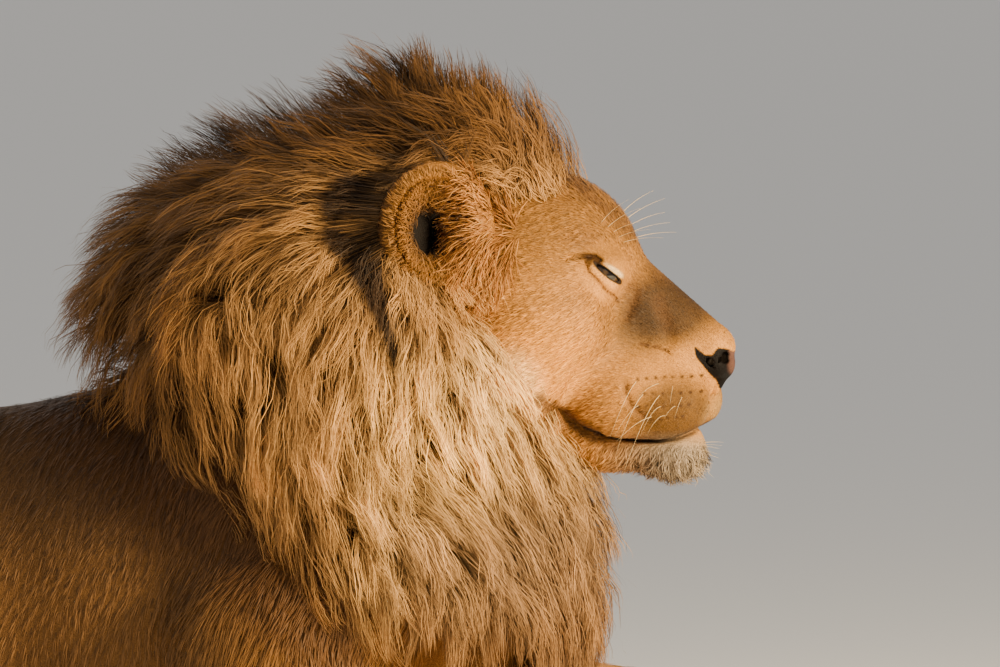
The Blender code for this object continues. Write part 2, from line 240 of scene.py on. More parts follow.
TRUNK = forms(
    (BODY, (-330, 0, 215), (290, 168, 225), 0, 20),  # rib cage
    (BODY, (-110, 0, 210), (165, 148, 220), 0, 40),  # fore chest
    (BODY, (-700, 0, 187), (300, 166, 197), 0, 50),  # belly
    (BODY, (-300, 0, 350), 83, (-660, 0, 324), 76, 1, 40),  # back
    (BODY, (-660, 0, 324), 76, (-1000, 0, 314), 86, 1, 40),  # loin
    (BODY, (-1035, 0, 225), (155, 148, 180), 0, 40),  # rump
)
SHOULDER = forms(
    (BODY, (-225, 128, 295), (98, 62, 165), -32, 30),
    (BODY, (-90, 140, 235), (90, 70, 95), 0, 30),
    (BODY, (-200, 168, 170), (125, 68, 110), 25, 30),
)
FORELEG = forms(
    (LEG, (-160, 184, 84), (85, 68, 90), 0, 25),
    (LEG, (-140, 182, 76), 78, (165, 165, 62), 58, 1, 25),
    (PAW, (165, 165, 58), 56, (260, 165, 48), 51, 1.05, 20),
    (PAW, (285, 165, 40), (56, 62, 42), 10, 20),
) + toes(0.322, 0.165, 0.036, 0.0285, (0.046, 0.0215, 0.037))
THIGH = forms(
    (BODY, (-920, 148, 212), (190, 82, 168), 18, 30),
    (BODY, (-770, 188, 165), (85, 62, 102), 0, 30),
)
SHANK = forms(
    (LEG, (-785, 205, 108), 72, (-1030, 215, 62), 44, 1, 20),
    (PAW, (-1055, 213, 50), (45, 34, 52), 0, 15),
)
HINDPAW = forms(
    (PAW, (-1005, 222, 36), 38, (-800, 245, 38), 42, 1, 10),
    (PAW, (-785, 247, 36), (50, 52, 36), 8, 20),
) + toes(-0.742, 0.248, 0.032, 0.0245, (0.042, 0.0190, 0.033))
TAIL_ROUTE = path(  # the tail's middle and its radius
    (-1130, 0, 215, 42), (-1220, 0, 140, 33), (-1295, -20, 62, 28), (-1345, -80, 25, 26),
    (-1350, -180, 22, 24), (-1295, -275, 21, 22), (-1200, -335, 20, 21), (-1090, -362, 19, 20),
    (-980, -370, 18, 19), (-880, -368, 17, 18), (-760, -362, 16, 10),
)


def smooth_route(points, parts=5):
    """The same route with more points, on a curve that passes through all of them."""
    p = np.array([points[0], *points, points[-1]], F)
    route = []
    for a, b, c, d in zip(p, p[1:], p[2:], p[3:]):
        for t in np.arange(parts) / parts:
            bend = (2 * a - 5 * b + 4 * c - d) * t ** 2 + (3 * (b - c) + d - a) * t ** 3
            route.append(0.5 * (2 * b + (c - a) * t + bend))
    return [*route, p[-1]]


TAIL_CURVE = smooth_route(TAIL_ROUTE)
TAIL = [
    limb(a[:3], float(a[3]), b[:3], float(b[3]), 1.0, metres(PAW), 0.002)
    for a, b in zip(TAIL_CURVE, TAIL_CURVE[1:])
]


def ear_place(out, back, up):
    """A point given in the ear's own axes: out of its cup, towards its rear edge, and up."""
    return tuple(np.array(EAR, F) + turned(yaw=EAR_YAW) @ np.array((out, back, up), F))


def ear_space(m):
    return (m - np.array(EAR, F)) @ turned(yaw=EAR_YAW)


EAR_OUTER = [ball(EAR, EAR_SIZE, yaw=EAR_YAW, inset=0.003)]
CANAL = [
    limb(ear_place(0.004, 0.008, 0.004), 0.010, (-0.034, 0.084, 0.600), 0.008, blend=0.010),
    limb(ear_place(0.004, 0.006, -0.014), 0.011, (-0.034, 0.084, 0.586), 0.008, blend=0.010),
]
EAR_HOLLOW = [ball(ear_place(0.031, 0.008, 0.000), (0.042, 0.047, 0.056), yaw=EAR_YAW), *CANAL]
MANE_FORM = forms(  # out to the tips of the hair
    (0, (-210, 0, 480), (275, 165, 250), -35, 50),
    (0, (-85, 0, 600), (155, 122, 124), -15, 50),
    (0, (-190, 120, 465), (188, 122, 188), -30, 50),
    (0, (-85, 105, 345), (142, 120, 215), -12, 50),
    (0, (-15, 90, 395), (82, 77, 120), 0, 40),
    (0, (-85, 0, 688), (108, 68, 106), 0, 30),
    (0, (-46, 0, 690), (80, 66, 86), 40, 30),
    (0, (-170, 0, 745), (26, 34, 54), -35, 15),
    (0, (0, 0, 260), (120, 146, 192), 0, 40),
    (0, (10, 0, 140), (90, 110, 122), 0, 40),
    (0, (-135, 145, 330), (190, 100, 95), 45, 40),
    (0, (-95, 150, 268), (130, 96, 115), 40, 40),
    (0, (-15, 122, 195), (108, 96, 122), 0, 40),
)
MANE_GAP = forms(  # the hollow that the ear leaves in the mane behind it
    (0, (-133, 172, 640), 34, (-124, 200, 600), 36, 1, 20),
    (0, (-124, 200, 600), 36, (-92, 215, 550), 19, 1, 20),
    (0, (-92, 215, 550), 19, (-68, 222, 480), 8, 1, 20),
)
# Middle line of the ear's painted shadow in the mane behind the ear, as seen from the side.
EAR_SHADOW_LINE = path((-133, 638), (-126, 601.5), (-106.7, 576), (-92.6, 550), (-80.9, 524), (-67, 472.5))


def mane_mass(p):
    return union(MANE_FORM, folded(p)[0])


def mane_form(p):
    """The mane's outer form with the hollows behind the ears."""
    return smooth_max(mane_mass(p), -union(MANE_GAP, folded(p)[0]), 0.015)


# ---------------------------------------------------------------- face detail
MOUTH = path(
    (238, 404.5), (214.5, 394.5), (194, 386), (176, 383), (156, 383), (132.5, 386), (118, 390), (100, 397),
    (85, 408), (74, 422),
)
BROW = path((92, 577.5), (104, 579), (115.5, 578), (121.5, 574.5))
EYE_CORNER = path((110.5, 576.5), (112, 571.5))
LOWER_LID = path((106.7, 573), (111.5, 563), (120.1, 554.2), (128, 542), (136.2, 530))
TEAR = path((147.6, 546.8), (154, 540), (151.9, 531), (144.6, 513.2))
CREASE = path((175.5, 531), (179, 521), (183.5, 512), (188, 490))
WRINKLE = path((159, 486), (176, 482.8), (189, 477.5))
PAD_EDGE = path((150, 446), (151, 436), (155.5, 424.5), (169, 412))
FURROW = path(
    (73, 660.5), (95.5, 643.7), (119.1, 624.8), (130.9, 613.3), (140.6, 600.7), (148.1, 592.3), (155.6, 582.9)
)
UNDER_CHEEK = path((63, 430), (78, 418), (94, 404), (116, 392))
OVER_JAW = path((72, 412), (92, 396), (112, 384), (130, 376))
GROOVES = (  # path, half width, depth, and how far out it starts
    (MOUTH[:7], 0.0026, 0.0060, 0.004), (MOUTH[6:], 0.0060, 0.0060, 0.030), (PAD_EDGE, 0.0030, 0.0022, 0.04),
    (WRINKLE, 0.0015, 0.0020, 0.03), (CREASE, 0.0080, 0.0022, 0.025), (BROW, 0.0024, 0.0024, 0.04),
    (LOWER_LID, 0.0018, 0.0016, 0.035), (TEAR, 0.0060, 0.0020, 0.030),
)
NOSTRIL = forms(
    (0, (219, 28.5, 475.5), 2.4, (230, 23.5, 466), 6, 1, 3),
    (0, (230, 23.5, 466), 6, (241.5, 18.5, 470.5), 7, 1, 3),
    (0, (241.5, 18.5, 470.5), 6, (228, 11, 467), 4.5, 1, 3),
)
SLIT_HALF, SLIT_OPEN, SLIT_DEEP, SLIT_BEND = 0.0185, 0.0031, 0.010, 0.0016
SOCKET, SOCKET_SHAPE, SOCKET_DEPTH = (0.146, 0.060, 0.548), (0.9, 1.0, 0.8), 0.0050


def slit_space(m, bend=SLIT_BEND):
    """Columns in the eye's own axes: along the slit, outwards, and up from its curved middle line."""
    along, out, up = ((m - np.array(EYE, F)) @ turned(pitch=SLIT_SLOPE, yaw=SLIT_YAW)).T
    return along, out, up + bend * (1.0 - (along / 0.018) ** 2)


def slit_field(m):
    """The opening between the lids: a thin lens, wide in the middle and closed at both corners."""
    along, out, across = slit_space(m)
    deep = (out - EYE_RADIUS) / SLIT_DEEP
    return (np.sqrt((across / SLIT_OPEN) ** 2 + (along / SLIT_HALF) ** 2 + deep ** 2) - 1.0) * SLIT_OPEN


def head_field(m):
    x, a, z = m.T
    head = smooth_min(union(HEAD, m), union(JAW, m), 0.0025 + 0.045 * ramp(x, 0.130, 0.075))
    head = head + SOCKET_DEPTH * ramp(away(m, SOCKET, SOCKET_SHAPE), 0.024, 0.004)
    head = smooth_min(head, size_of(m - np.array(EYE, F)) - EYE_RADIUS - LID, 0.013)
    for points, half_width, depth, start in GROOVES:
        side = ramp(a, start, start + 0.012) * (a < 0.2)
        head = head + depth * np.exp(-(path_distance(x, z, points) / half_width) ** 2) * side
    philtrum = np.exp(-(a / 0.0016) ** 2) * ramp(z, 0.452, 0.440) * ramp(z, 0.395, 0.402)
    head = head + 0.004 * philtrum * ramp(x, 0.215, 0.225)
    head = smooth_max(head, -union(NOSTRIL, m), 0.0012)
    return smooth_max(head, -slit_field(m), 0.0010)


BODY_GROUPS = (
    (TRUNK, 0.05), (SHOULDER, 0.05), (FORELEG, 0.03), (THIGH, 0.09), (SHANK, 0.018), (HINDPAW, 0.018),
)


def skin_field(p):
    """Distance from the skin, negative inside."""
    m = folded(p)[0]
    body = union(NECK, m)
    for group, blend in BODY_GROUPS:
        body = smooth_min(body, union(group, m), blend)
    body = smooth_min(body, union(TAIL, p), 0.02)
    near = ((m > (-0.30, -0.05, 0.27)) & (m < (0.30, 0.30, 0.75))).all(1)
    if near.any():
        q = m[near]
        whole = smooth_min(body[near], head_field(q), 0.02)
        body[near] = smooth_max(smooth_min(whole, union(EAR_OUTER, q), 0.014), -union(EAR_HOLLOW, q), 0.004)
    return np.maximum(body, 0.0008 - p[:, 2])


# ---------------------------------------------------------------- from field to mesh
def field_slope(field, p, step=0.0007):
    slope = np.empty_like(p)
    for axis, shift in enumerate(np.eye(3, dtype=F) * F(step)):
        slope[:, axis] = (field(p + shift) - field(p - shift)) / (2 * step)
    return slope


def in_parts(function, p, size=120000):
    """Runs a function of points over sorted runs of them, so that far forms are passed over."""
    order = np.argsort(p[:, 0], kind="stable")
    result = None
    for start in range(0, len(p), size):
        part = order[start:start + size]
        value = function(p[part])
        if result is None:
            result = np.empty((len(p), *value.shape[1:]), F)
        result[part] = value
    return result


def settle(points, steps=2, most=0.003):
    """Moves points onto the skin along its slope."""
    for _ in range(steps):
        value = in_parts(skin_field, points)
        slope = in_parts(lambda q: field_slope(skin_field, q), points)
        size2 = np.maximum(dot(slope, slope), 0.2)
        step = np.clip(value / np.sqrt(size2), -most, most) / np.sqrt(size2)
        points = points - slope * step[:, None]
    return points


def surface_net(field, low, high, cell, slab=12):
    """Quads over the zero level of a field."""
    low = np.array(low, F)
    counts = np.ceil((np.array(high) - low) / cell).astype(int) + 1
    axes = [low[k] + np.arange(counts[k], dtype=F) * cell for k in range(3)]
    values = np.empty(counts, F)
    for start in range(0, counts[0], slab):
        grid = np.stack(np.meshgrid(axes[0][start:start + slab], *axes[1:], indexing="ij"), -1)
        values[start:start + slab] = field(grid.reshape(-1, 3)).reshape(grid.shape[:3])
    inside = values < 0
    corners, steps = list(np.ndindex(2, 2, 2)), np.eye(3, dtype=int)
    nx, ny, nz = counts - 1
    total = sum(inside[a:a + nx, b:b + ny, c:c + nz].astype(np.int8) for a, b, c in corners)
    cells = np.argwhere((total > 0) & (total < 8))
    index = np.full((nx, ny, nz), -1, int)
    index[tuple(cells.T)] = np.arange(len(cells))
    place, crossings = np.zeros((len(cells), 3)), np.zeros(len(cells))
    for corner in corners:
        for step in steps[::-1]:
            if step @ corner:
                continue
            here, there = values[tuple((cells + corner).T)], values[tuple((cells + corner + step).T)]
            hit = (here < 0) != (there < 0)
            share = here[hit] / (here[hit] - there[hit])
            place[hit] += np.array(corner) + share[:, None] * step
            crossings[hit] += 1
    points = (low + (cells + place / crossings[:, None]) * cell).astype(F)
    quads = []
    for axis in range(3):
        u, v = steps[(axis + 1) % 3], steps[(axis + 2) % 3]
        first = [slice(1, n - 1) for n in counts]
        second = list(first)
        first[axis], second[axis] = slice(0, counts[axis] - 1), slice(1, counts[axis])
        at = np.argwhere(inside[tuple(first)] != inside[tuple(second)]) + u + v
        quad = np.column_stack([index[tuple((at - o).T)] for o in (u + v, v, 0 * u, u)])
        outwards = inside[tuple(at.T)]
        quad[~outwards] = quad[~outwards][:, ::-1]
        quads.append(quad)
    return points, np.concatenate(quads)


NECK_POINT, NECK_NORMAL, NECK_GAP = Vector((-0.06, 0, 0.42)), Vector((0.6, 0, 0.8)), 0.004


def grid_mesh(low, high, cell, side):
    """The skin in a box as a draft mesh, cut off at the neck."""
    points, quads = surface_net(skin_field, low, high, cell)
    bm = bmesh.new()
    mesh = bpy.data.meshes.new("draft")
    mesh.from_pydata(points.tolist(), [], quads.tolist())
    bm.from_mesh(mesh)
    bpy.data.meshes.remove(mesh)
    normal = NECK_NORMAL.normalized() * side
    bmesh.ops.bisect_plane(
        bm, geom=bm.verts[:] + bm.edges[:] + bm.faces[:], dist=1e-6, plane_co=NECK_POINT + normal * NECK_GAP,
        plane_no=-normal, clear_outer=True,
    )
    return bm


def refine(bm, chosen):
    """Splits the faces whose centres the rule chooses, and lays the new points on the skin."""
    centres = np.array([face.calc_center_median() for face in bm.faces], F)
    keep = chosen(centres)
    edges = {edge for face, wanted in zip(bm.faces, keep) if wanted for edge in face.edges}
    bmesh.ops.subdivide_edges(bm, edges=list(edges), cuts=1, use_grid_fill=True)
    points = settle(np.array([vert.co for vert in bm.verts], F).reshape(-1, 3))
    for vert, point in zip(bm.verts, points):
        vert.co = point.tolist()


def fine_spots(centres):
    """The eyes, the nose and the lips, where the skin is finest."""
    m, x, a, z = folded(centres)
    nose = (x > 0.205) & (z > 0.425) & (z < 0.49)
    return (away(m, EYE) < 0.034) | nose | ((path_distance(x, z, MOUTH) < 0.008) & (x > 0.06))


def lids(centres):
    along, out, up = slit_space(folded(centres)[0], 0.0)
    return (np.hypot(along / 0.024, up / 0.009) < 1.0) & (out > 0.0) & (out < 0.03)


def paw_spots(centres):
    m, x, a, z = folded(centres)
    hind = (x < -0.66) & (x > -0.86) & (a > 0.17) & (z < 0.11)
    tail = (x < -1.10) | ((centres[:, 1] < -0.31) & (z < 0.08))
    return ((x > 0.20) & (z < 0.2)) | hind | tail


def make_skin_mesh():
    head_cell, body_cell = ((0.0031, 0.0095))
    head = grid_mesh((-0.20, -0.24, 0.28), (0.275, 0.24, 0.74), head_cell, 1)
    refine(head, fine_spots)
    refine(head, lids)
    body = grid_mesh((-1.42, -0.42, -0.02), (0.40, 0.32, 0.70), body_cell, -1)
    refine(body, paw_spots)
    for bm in (head, body):
        bmesh.ops.delete(bm, geom=[vert for vert in bm.verts if not vert.link_faces], context="VERTS")
    draft = bpy.data.meshes.new("draft")
    body.to_mesh(draft)
    head.from_mesh(draft)
    bpy.data.meshes.remove(draft)
    body.free()
    bmesh.ops.bridge_loops(head, edges=[edge for edge in head.edges if edge.is_boundary])
    bmesh.ops.triangulate(head, faces=[face for face in head.faces if len(face.verts) > 4])
    mesh = bpy.data.meshes.new("skin")
    head.to_mesh(mesh)
    head.free()
    return mesh


# ---------------------------------------------------------------- markings, with painted light and shade
TAN = np.array((0.450, 0.196, 0.038))
BROWN = np.array((0.280, 0.118, 0.028))
GOLD = np.array((0.600, 0.280, 0.068))
BLOND = np.array((0.720, 0.405, 0.140))
CREAM = np.array((0.750, 0.530, 0.280))
UMBER = np.array((0.145, 0.060, 0.019))
BLACK = np.array((0.020, 0.014, 0.011))
LEATHER = np.array((0.004, 0.003, 0.003))
PINK = np.array((0.130, 0.060, 0.044))
EAR_SHADOW_WIDTHS = (472.5, 499, 524, 550, 576, 601.5), (4, 8, 10, 13, 19, 26)  # height, half width of the ear's painted shadow
WHISKER_ROWS = (  # height, start, end, and number of whiskers
    (0.4525, 0.162, 0.222, 8), (0.4370, 0.167, 0.222, 7),
    (0.4235, 0.163, 0.214, 7), (0.4110, 0.168, 0.206, 6),
)
NOSE_TOP = (215, 224.9, 232.2, 238.1, 247.3, 253.4), (483, 474.5, 474, 482, 479.5, 472.5)
NOSE_LOW = (214, 216.8, 225.5, 232, 237), (480, 471.6, 459.5, 450.5, 430)
FACE_MARKS = (  # share, centre and radii in millimetres, edge, colour
    (0.55, (60, 0, 640), (110, 95, 60), 0.3, BROWN * 0.8),  # crown
    (0.85, (70, 105, 470), (75, 60, 70), 0.3, GOLD * (1.2, 1.07, 0.55)),  # cheek
    (0.85, (176, 0, 532), (68, 90, 58), 0.4, (0.088, 0.041, 0.014)),  # bridge of the nose: darker hair, partly painted shade
    # top of the muzzle before the nose: darker hair, partly painted shade
    (0.60, (215, 0, 500), (35, 60, 35), 0.4, TAN * 0.55),
    (0.85, (195, 50, 415), (66, 60, 50), 0.45, (0.055, 0.026, 0.007)),  # whisker pad
    (0.85, (36, 115, 440), (44, 80, 62), 0.1, (1.0, 0.68, 0.30)),  # painted highlight on the back of the cheek
    (0.55, (236, 20, 408), (24, 45, 34), 0.2, BLOND * 0.7),  # edge of the upper lip
    (0.30, (130, 70, 475), (28, 40, 24), 0.3, BROWN),
    (0.86, (160, 50, 506), (58, 78, 52), 0.15, (0.048, 0.027, 0.012)),  # side of the muzzle: darker hair, partly painted shade
    # top of the muzzle: darker hair, partly painted shade
    (0.88, (188, 20, 520), (60, 80, 46), 0.45, (0.046, 0.025, 0.011)),
    (0.55, (30, 105, 574), (13, 60, 30), 0.2, UMBER * 0.6),  # in front of the ear
    (0.55, (102, 75, 598), (30, 40, 18), 0.3, BROWN * 0.8),  # over the eye
    (0.40, (98, 85, 535), (26, 40, 26), 0.3, BROWN),  # under the eye
)


def paint(colours, m, marks):
    """Lays blobs of colour over each other."""
    for share, centre, radii, edge, colour in marks:
        colours = mix(colours, share * blob(m, metres(centre), metres(radii), edge), colour)
    return colours


def level(at, table):
    """A curve's height at places, from its table in millimetres."""
    return np.interp(at, *map(metres, table))


def ear_shadow(m):
    """1 where the ear's shadow is painted into the hollow of the mane behind it, as seen from the side."""
    x, a, z = m.T
    return ramp(path_distance(x, z, EAR_SHADOW_LINE) - level(z, EAR_SHADOW_WIDTHS), 0.006, -0.005) * ramp(a, 0.05, 0.08)


def whisker_spots():
    """Roots of the whiskers as seen from the side."""
    spots = []
    for row, (z, start, end, count) in enumerate(WHISKER_ROWS):
        for k in range(count):
            t = k / (count - 1)
            x = start + (end - start) * t + 0.002 * (row % 2)
            spots.append((x, z - 0.0012 * math.cos(3.0 * t) + 0.0008 * math.sin(7.0 * k + row)))
    return spots


SPOTS = whisker_spots()


def nose_leather(m):
    """The bare nose: full width on top, narrowing to the philtrum."""
    x, a, z = m.T
    width = 0.006 + 0.030 * ramp(z, 0.434, 0.462)
    side = ramp(z - level(x, NOSE_TOP), 0.0008, -0.0008) * ramp(z - level(x, NOSE_LOW), -0.0012, 0.0008)
    return side * ramp(x, 0.2135, 0.2155) * ramp(a, width + 0.002, width - 0.001)


def face_tone(colours, m):
    """The face's markings, from the crown down to the chin, with painted shade on the muzzle, under the chin,
    in the folds and in the nostrils, and a painted highlight on the back of the cheek.
    """
    x, a, z = m.T
    outside, brow = a > 0.02, a > 0.03
    colours = paint(colours * (1.0 - 0.38 * ramp(z, 0.545, 0.600))[:, None], m, FACE_MARKS)
    # Pale chin, painted darker than its own cream: partly painted shade under the jaw.
    chin = ramp(z, 0.400, 0.372) * ramp(x, 0.095, 0.185) * ramp(z, 0.30, 0.34)
    colours = mix(colours, 0.88 * chin, (0.240, 0.192, 0.138))
    along, out, across = slit_space(m)
    near = (away(m, EYE) < 0.034) & (out > 0.0)
    patch = np.hypot((along - 0.0045) / 0.0150, (across - 0.0068) / 0.0036)
    colours = mix(colours, 0.80 * ramp(patch, 1.25, 0.45) * near, CREAM * 0.92)
    lower = ramp(across, -0.0030, -0.0042) * ramp(across, -0.0105, -0.0080) * ramp(abs(along), 0.024, 0.014)
    colours = mix(colours, 0.70 * lower * near, GOLD * 1.1)
    rim = np.hypot(across / np.where(across > 0, 0.0046, 0.0041), along / 0.0212)
    spots = np.full(len(x), 1.0, F)
    for spot_x, spot_z in SPOTS:
        spots = np.minimum(spots, np.hypot(x - spot_x, z - spot_z))
    lips = 0.55 + 0.45 * ramp(x, 0.205, 0.170)
    # The furrow, crease, wrinkle, pad edge, under-cheek and over-jaw lines are painted shade in the folds.
    for share, line, wide, narrow, where, colour in (
        (0.60, LOWER_LID, 0.0028, 0.0006, outside, UMBER),
        (1.00, rim, 1.10, 0.94, near, BLACK),
        (0.95, BROW, 0.0062, 0.0014, ramp(x, 0.090, 0.108) * brow, UMBER * 0.25),
        (0.80, EYE_CORNER, 0.0040, 0.0012, brow, UMBER * 0.25),
        (0.50, FURROW, 0.0065, 0.0010, ramp(a, 0.050, 0.036) * ramp(x, 0.068, 0.090), UMBER * 0.8),
        (0.35, TEAR, 0.0110, 0.0005, outside, UMBER * 0.7),
        (0.28, CREASE, 0.0120, 0.0010, ramp(z, 0.485, 0.512) * outside, UMBER),
        (0.80, WRINKLE, 0.0022, 0.0006, outside, UMBER * 0.6),
        (0.60, PAD_EDGE, 0.0070, 0.0008, outside, UMBER),
        (0.95, spots, 0.0024, 0.0010, a > 0.015, UMBER * 0.3),
        (0.80, UNDER_CHEEK, 0.012, 0.002, outside, UMBER),
        (0.70, OVER_JAW, 0.012, 0.002, outside, UMBER),
        (1.00, MOUTH[:8], 0.0036, 0.0014, lips, BLACK),
        (0.95, a, 0.0034, 0.0012, ramp(z, 0.452, 0.444) * ramp(z, 0.396, 0.402) * (x > 0.20), BLACK),
    ):
        distance = path_distance(x, z, line) if isinstance(line, list) else line
        colours = mix(colours, share * ramp(distance, wide, narrow) * where, colour)
    leather, tip = nose_leather(m), ramp(x, 0.2455, 0.2500) * ramp(z, 0.445, 0.454)
    colours = mix(colours, leather, mix(LEATHER, 0.75 * tip, PINK))
    # Painted shade inside the nostrils.
    return mix(colours, ramp(union(NOSTRIL, m), 0.0014, 0.0002), BLACK * 0.4)


def ear_tone(colours, m):
    """Golden on the rim, dark behind as in the species, and painted shade in the depth of the cup."""
    out, back, up = ear_space(m).T
    on_ear = ramp(away(m, EAR), 0.088, 0.076)
    colours = mix(colours, on_ear * 0.90, (0.30, 0.126, 0.024))
    behind = ramp(out, -0.010, -0.022) * ramp(np.hypot(back, up + 0.01), 0.050, 0.030)
    colours = mix(colours, 0.85 * on_ear * behind, BLACK * 2.0)
    # Painted shade in the depth of the cup.
    inside = on_ear * ramp(union(EAR_HOLLOW, m), 0.0060, 0.0020)
    return mix(colours, 0.35 * inside * ramp(out, 0.010, -0.010), UMBER)


def canal_shade(m):
    """1 in the ear's dark opening."""
    out, back, up = ear_space(m).T
    hole = ramp(np.hypot((back - 0.011) / 0.013, (up + 0.009) / 0.023), 1.15, 0.90)
    hole = hole * ramp(union(EAR_HOLLOW, m), 0.012, 0.006)
    return np.maximum(hole, ramp(union(CANAL, m), 0.006, 0.001)) * ramp(np.abs(out), 0.040, 0.030)


def coat_tone(p):
    """The coat's colour anywhere on the skin: the skin, the tufts and the locks all take it from here."""
    m, x, a, z = folded(p)
    colours = np.repeat(TAN[None], len(p), 0)
    # The body behind the head is painted darker, standing in for the shade it lies in; the share grows
    # upwards.
    dark = (0.76 + 0.20 * ramp(z, 0.20, 0.38)) * ramp(x, -0.10, -0.30)
    colours = mix(colours, dark, (0.095, 0.049, 0.022))
    colours = mix(colours, 0.75 * ramp(z, 0.085, 0.02) * ramp(a, 0.16, 0.06), CREAM * 0.9)
    colours = mix(colours, 0.35 * ramp(x, 0.05, 0.25) * ramp(z, 0.16, 0.04), BLOND)
    # The ear's shadow, painted dark into the hollow behind it.
    colours = mix(colours, 0.95 * ear_shadow(m), UMBER * 0.28)
    head, ear = (x > -0.05) & (z > 0.32), away(m, EAR) < 0.10
    if head.any():
        colours[head] = face_tone(colours[head], m[head])
    if ear.any():
        colours[ear] = ear_tone(colours[ear], m[ear])
    # The mane's shadow, painted dark on the shoulder and flank beside it.
    mane_shadow = ramp(mane_form(p), 0.075, 0.0) * ramp(x, 0.0, -0.12) * ramp(z, 0.06, 0.16)
    colours = mix(colours, 0.85 * mane_shadow, UMBER * 0.55)
    tail_end = ramp(x, -1.02, -0.94) * (p[:, 1] < -0.30) * (z < 0.07)
    colours = mix(colours, tail_end * 0.8, UMBER)
    # Painted shade: the skin deep under the mane is dark, so that the gaps between the locks read as shadow.
    under = mane_form(p) - 0.025 * ramp(z, 0.36, 0.30)
    colours = mix(colours, 0.88 * ramp(under, -0.040, -0.080), UMBER * 1.1)
    if ear.any():
        colours[ear] = mix(colours[ear], canal_shade(m[ear]), BLACK * 0.3)
    return colours


def mane_tone(p):
    """The mane's colour: golden at the ears, blond in front with a painted highlight by the cheek, browner
    behind and low on the side, with the ear's painted shadow in the hollow behind it.
    """
    m, x, a, z = folded(p)
    colours = np.repeat(GOLD[None] * (0.88, 0.94, 1.15), len(p), 0)
    colours = mix(colours, 0.88 * ramp(x, -0.15, -0.04) * ramp(z, 0.52, 0.42), (0.98, 0.56, 0.175))
    colours = mix(colours, 0.85 * ramp(z, 0.39, 0.28) * ramp(x, -0.13, -0.02), (0.290, 0.150, 0.062))
    colours = mix(colours, 0.55 * ramp(x, 0.010, 0.045) * ramp(z, 0.46, 0.38), (0.290, 0.155, 0.066))
    # A painted highlight on the front of the mane by the cheek.
    colours = paint(colours, m, [(0.85, (5, 125, 410), (58, 80, 120), 0.2, (0.99, 0.64, 0.26))])
    colours = mix(colours, 0.70 * ramp(x, -0.16, -0.36), BROWN * 0.9)
    colours = mix(colours, 0.55 * ramp(z, 0.30, 0.14), BROWN * 0.85)
    colours = mix(colours, 0.90 * ramp(z, 0.62, 0.70), BROWN * 0.46)
    colours = paint(colours, m, [(0.40, (0, 100, 600), (70, 70, 70), 0.3, GOLD * (1.1, 0.85, 0.6))])
    # The ear's shadow, painted dark into the hollow behind it.
    return mix(colours, 0.96 * ear_shadow(m), UMBER * 0.13)


# ---------------------------------------------------------------- materials
MOTTLE_SCALE, MOTTLE = 60.0, (0.72, 1.28)  # of the uneven colour all over, and its darkest and lightest
GRAIN, GRAIN_SHARPNESS = (0.74, 1.22), (0.35, 0.65)  # of the fine speckle, which the bump follows


def tone_material(name, roughness, specular, sheen=0.0, coat=0.0, bump_scale=0.0, bump_depth=0.0):
    """A surface that takes its markings from the mesh, with fine mottling and a fine grain."""
    material = bpy.data.materials.new(name)
    material.use_nodes = True
    nodes, links = material.node_tree.nodes, material.node_tree.links
    surface = nodes["Principled BSDF"]

    def set_inputs(node, inputs):
        for key, value in inputs.items():
            if isinstance(value, bpy.types.NodeSocket):
                links.new(value, node.inputs[key])
            else:
                node.inputs[key].default_value = value

    def add(kind, inputs):
        node = nodes.new("ShaderNode" + kind)
        set_inputs(node, inputs)
        return node

    def speckled(colour, scale, detail, limits, sharpness=(0.0, 1.0)):
        """A colour made darker and lighter in spots, and the noise behind it."""
        noise = add("TexNoise", {"Scale": scale, "Detail": detail, "Vector": place}).outputs["Fac"]
        ends = dict(zip(("From Min", "From Max", "To Min", "To Max"), (*sharpness, *limits)))
        spread = add("MapRange", {"Value": noise, **ends})
        shade = nodes.new("ShaderNodeVectorMath")
        shade.operation = "SCALE"
        set_inputs(shade, {"Vector": colour, "Scale": spread.outputs["Result"]})
        return shade.outputs["Vector"], noise

    place = add("TexCoord", {}).outputs["Object"]
    tone = add("Attribute", {})
    tone.attribute_name = "tone"
    colour, noise = speckled(tone.outputs["Color"], MOTTLE_SCALE, 4.0, MOTTLE)
    if bump_depth:
        colour, noise = speckled(colour, bump_scale, 3.0, GRAIN, GRAIN_SHARPNESS)
        bump = add("Bump", {"Distance": bump_depth, "Strength": 0.8, "Height": noise})
        set_inputs(surface, {"Normal": bump.outputs["Normal"]})
    set_inputs(surface, {
        "Base Color": colour, "Roughness": roughness, "Sheen Weight": sheen, "Coat Weight": coat,
        "Specular IOR Level": specular,
    })
    return material


# ---------------------------------------------------------------- pieces
def read(items, key, width, kind=F):
    """A property of all the items, as rows."""
    values = np.empty(len(items) * width, kind)
    items.foreach_get(key, values)
    return values.reshape(-1, width)


def set_tone(mesh, colours):
    layer = mesh.color_attributes.new("tone", "FLOAT_COLOR", "POINT")
    values = np.ones((len(mesh.vertices), 4), F)
    values[:, :3] = colours
    layer.data.foreach_set("color", values.ravel())


def add_piece(name, mesh, material):
    piece = bpy.data.objects.new(name, mesh)
    bpy.context.scene.collection.objects.link(piece)
    mesh.materials.append(material)
    mesh.transform(Matrix.Translation(ORIGIN))
    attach(piece, "root")
    return piece


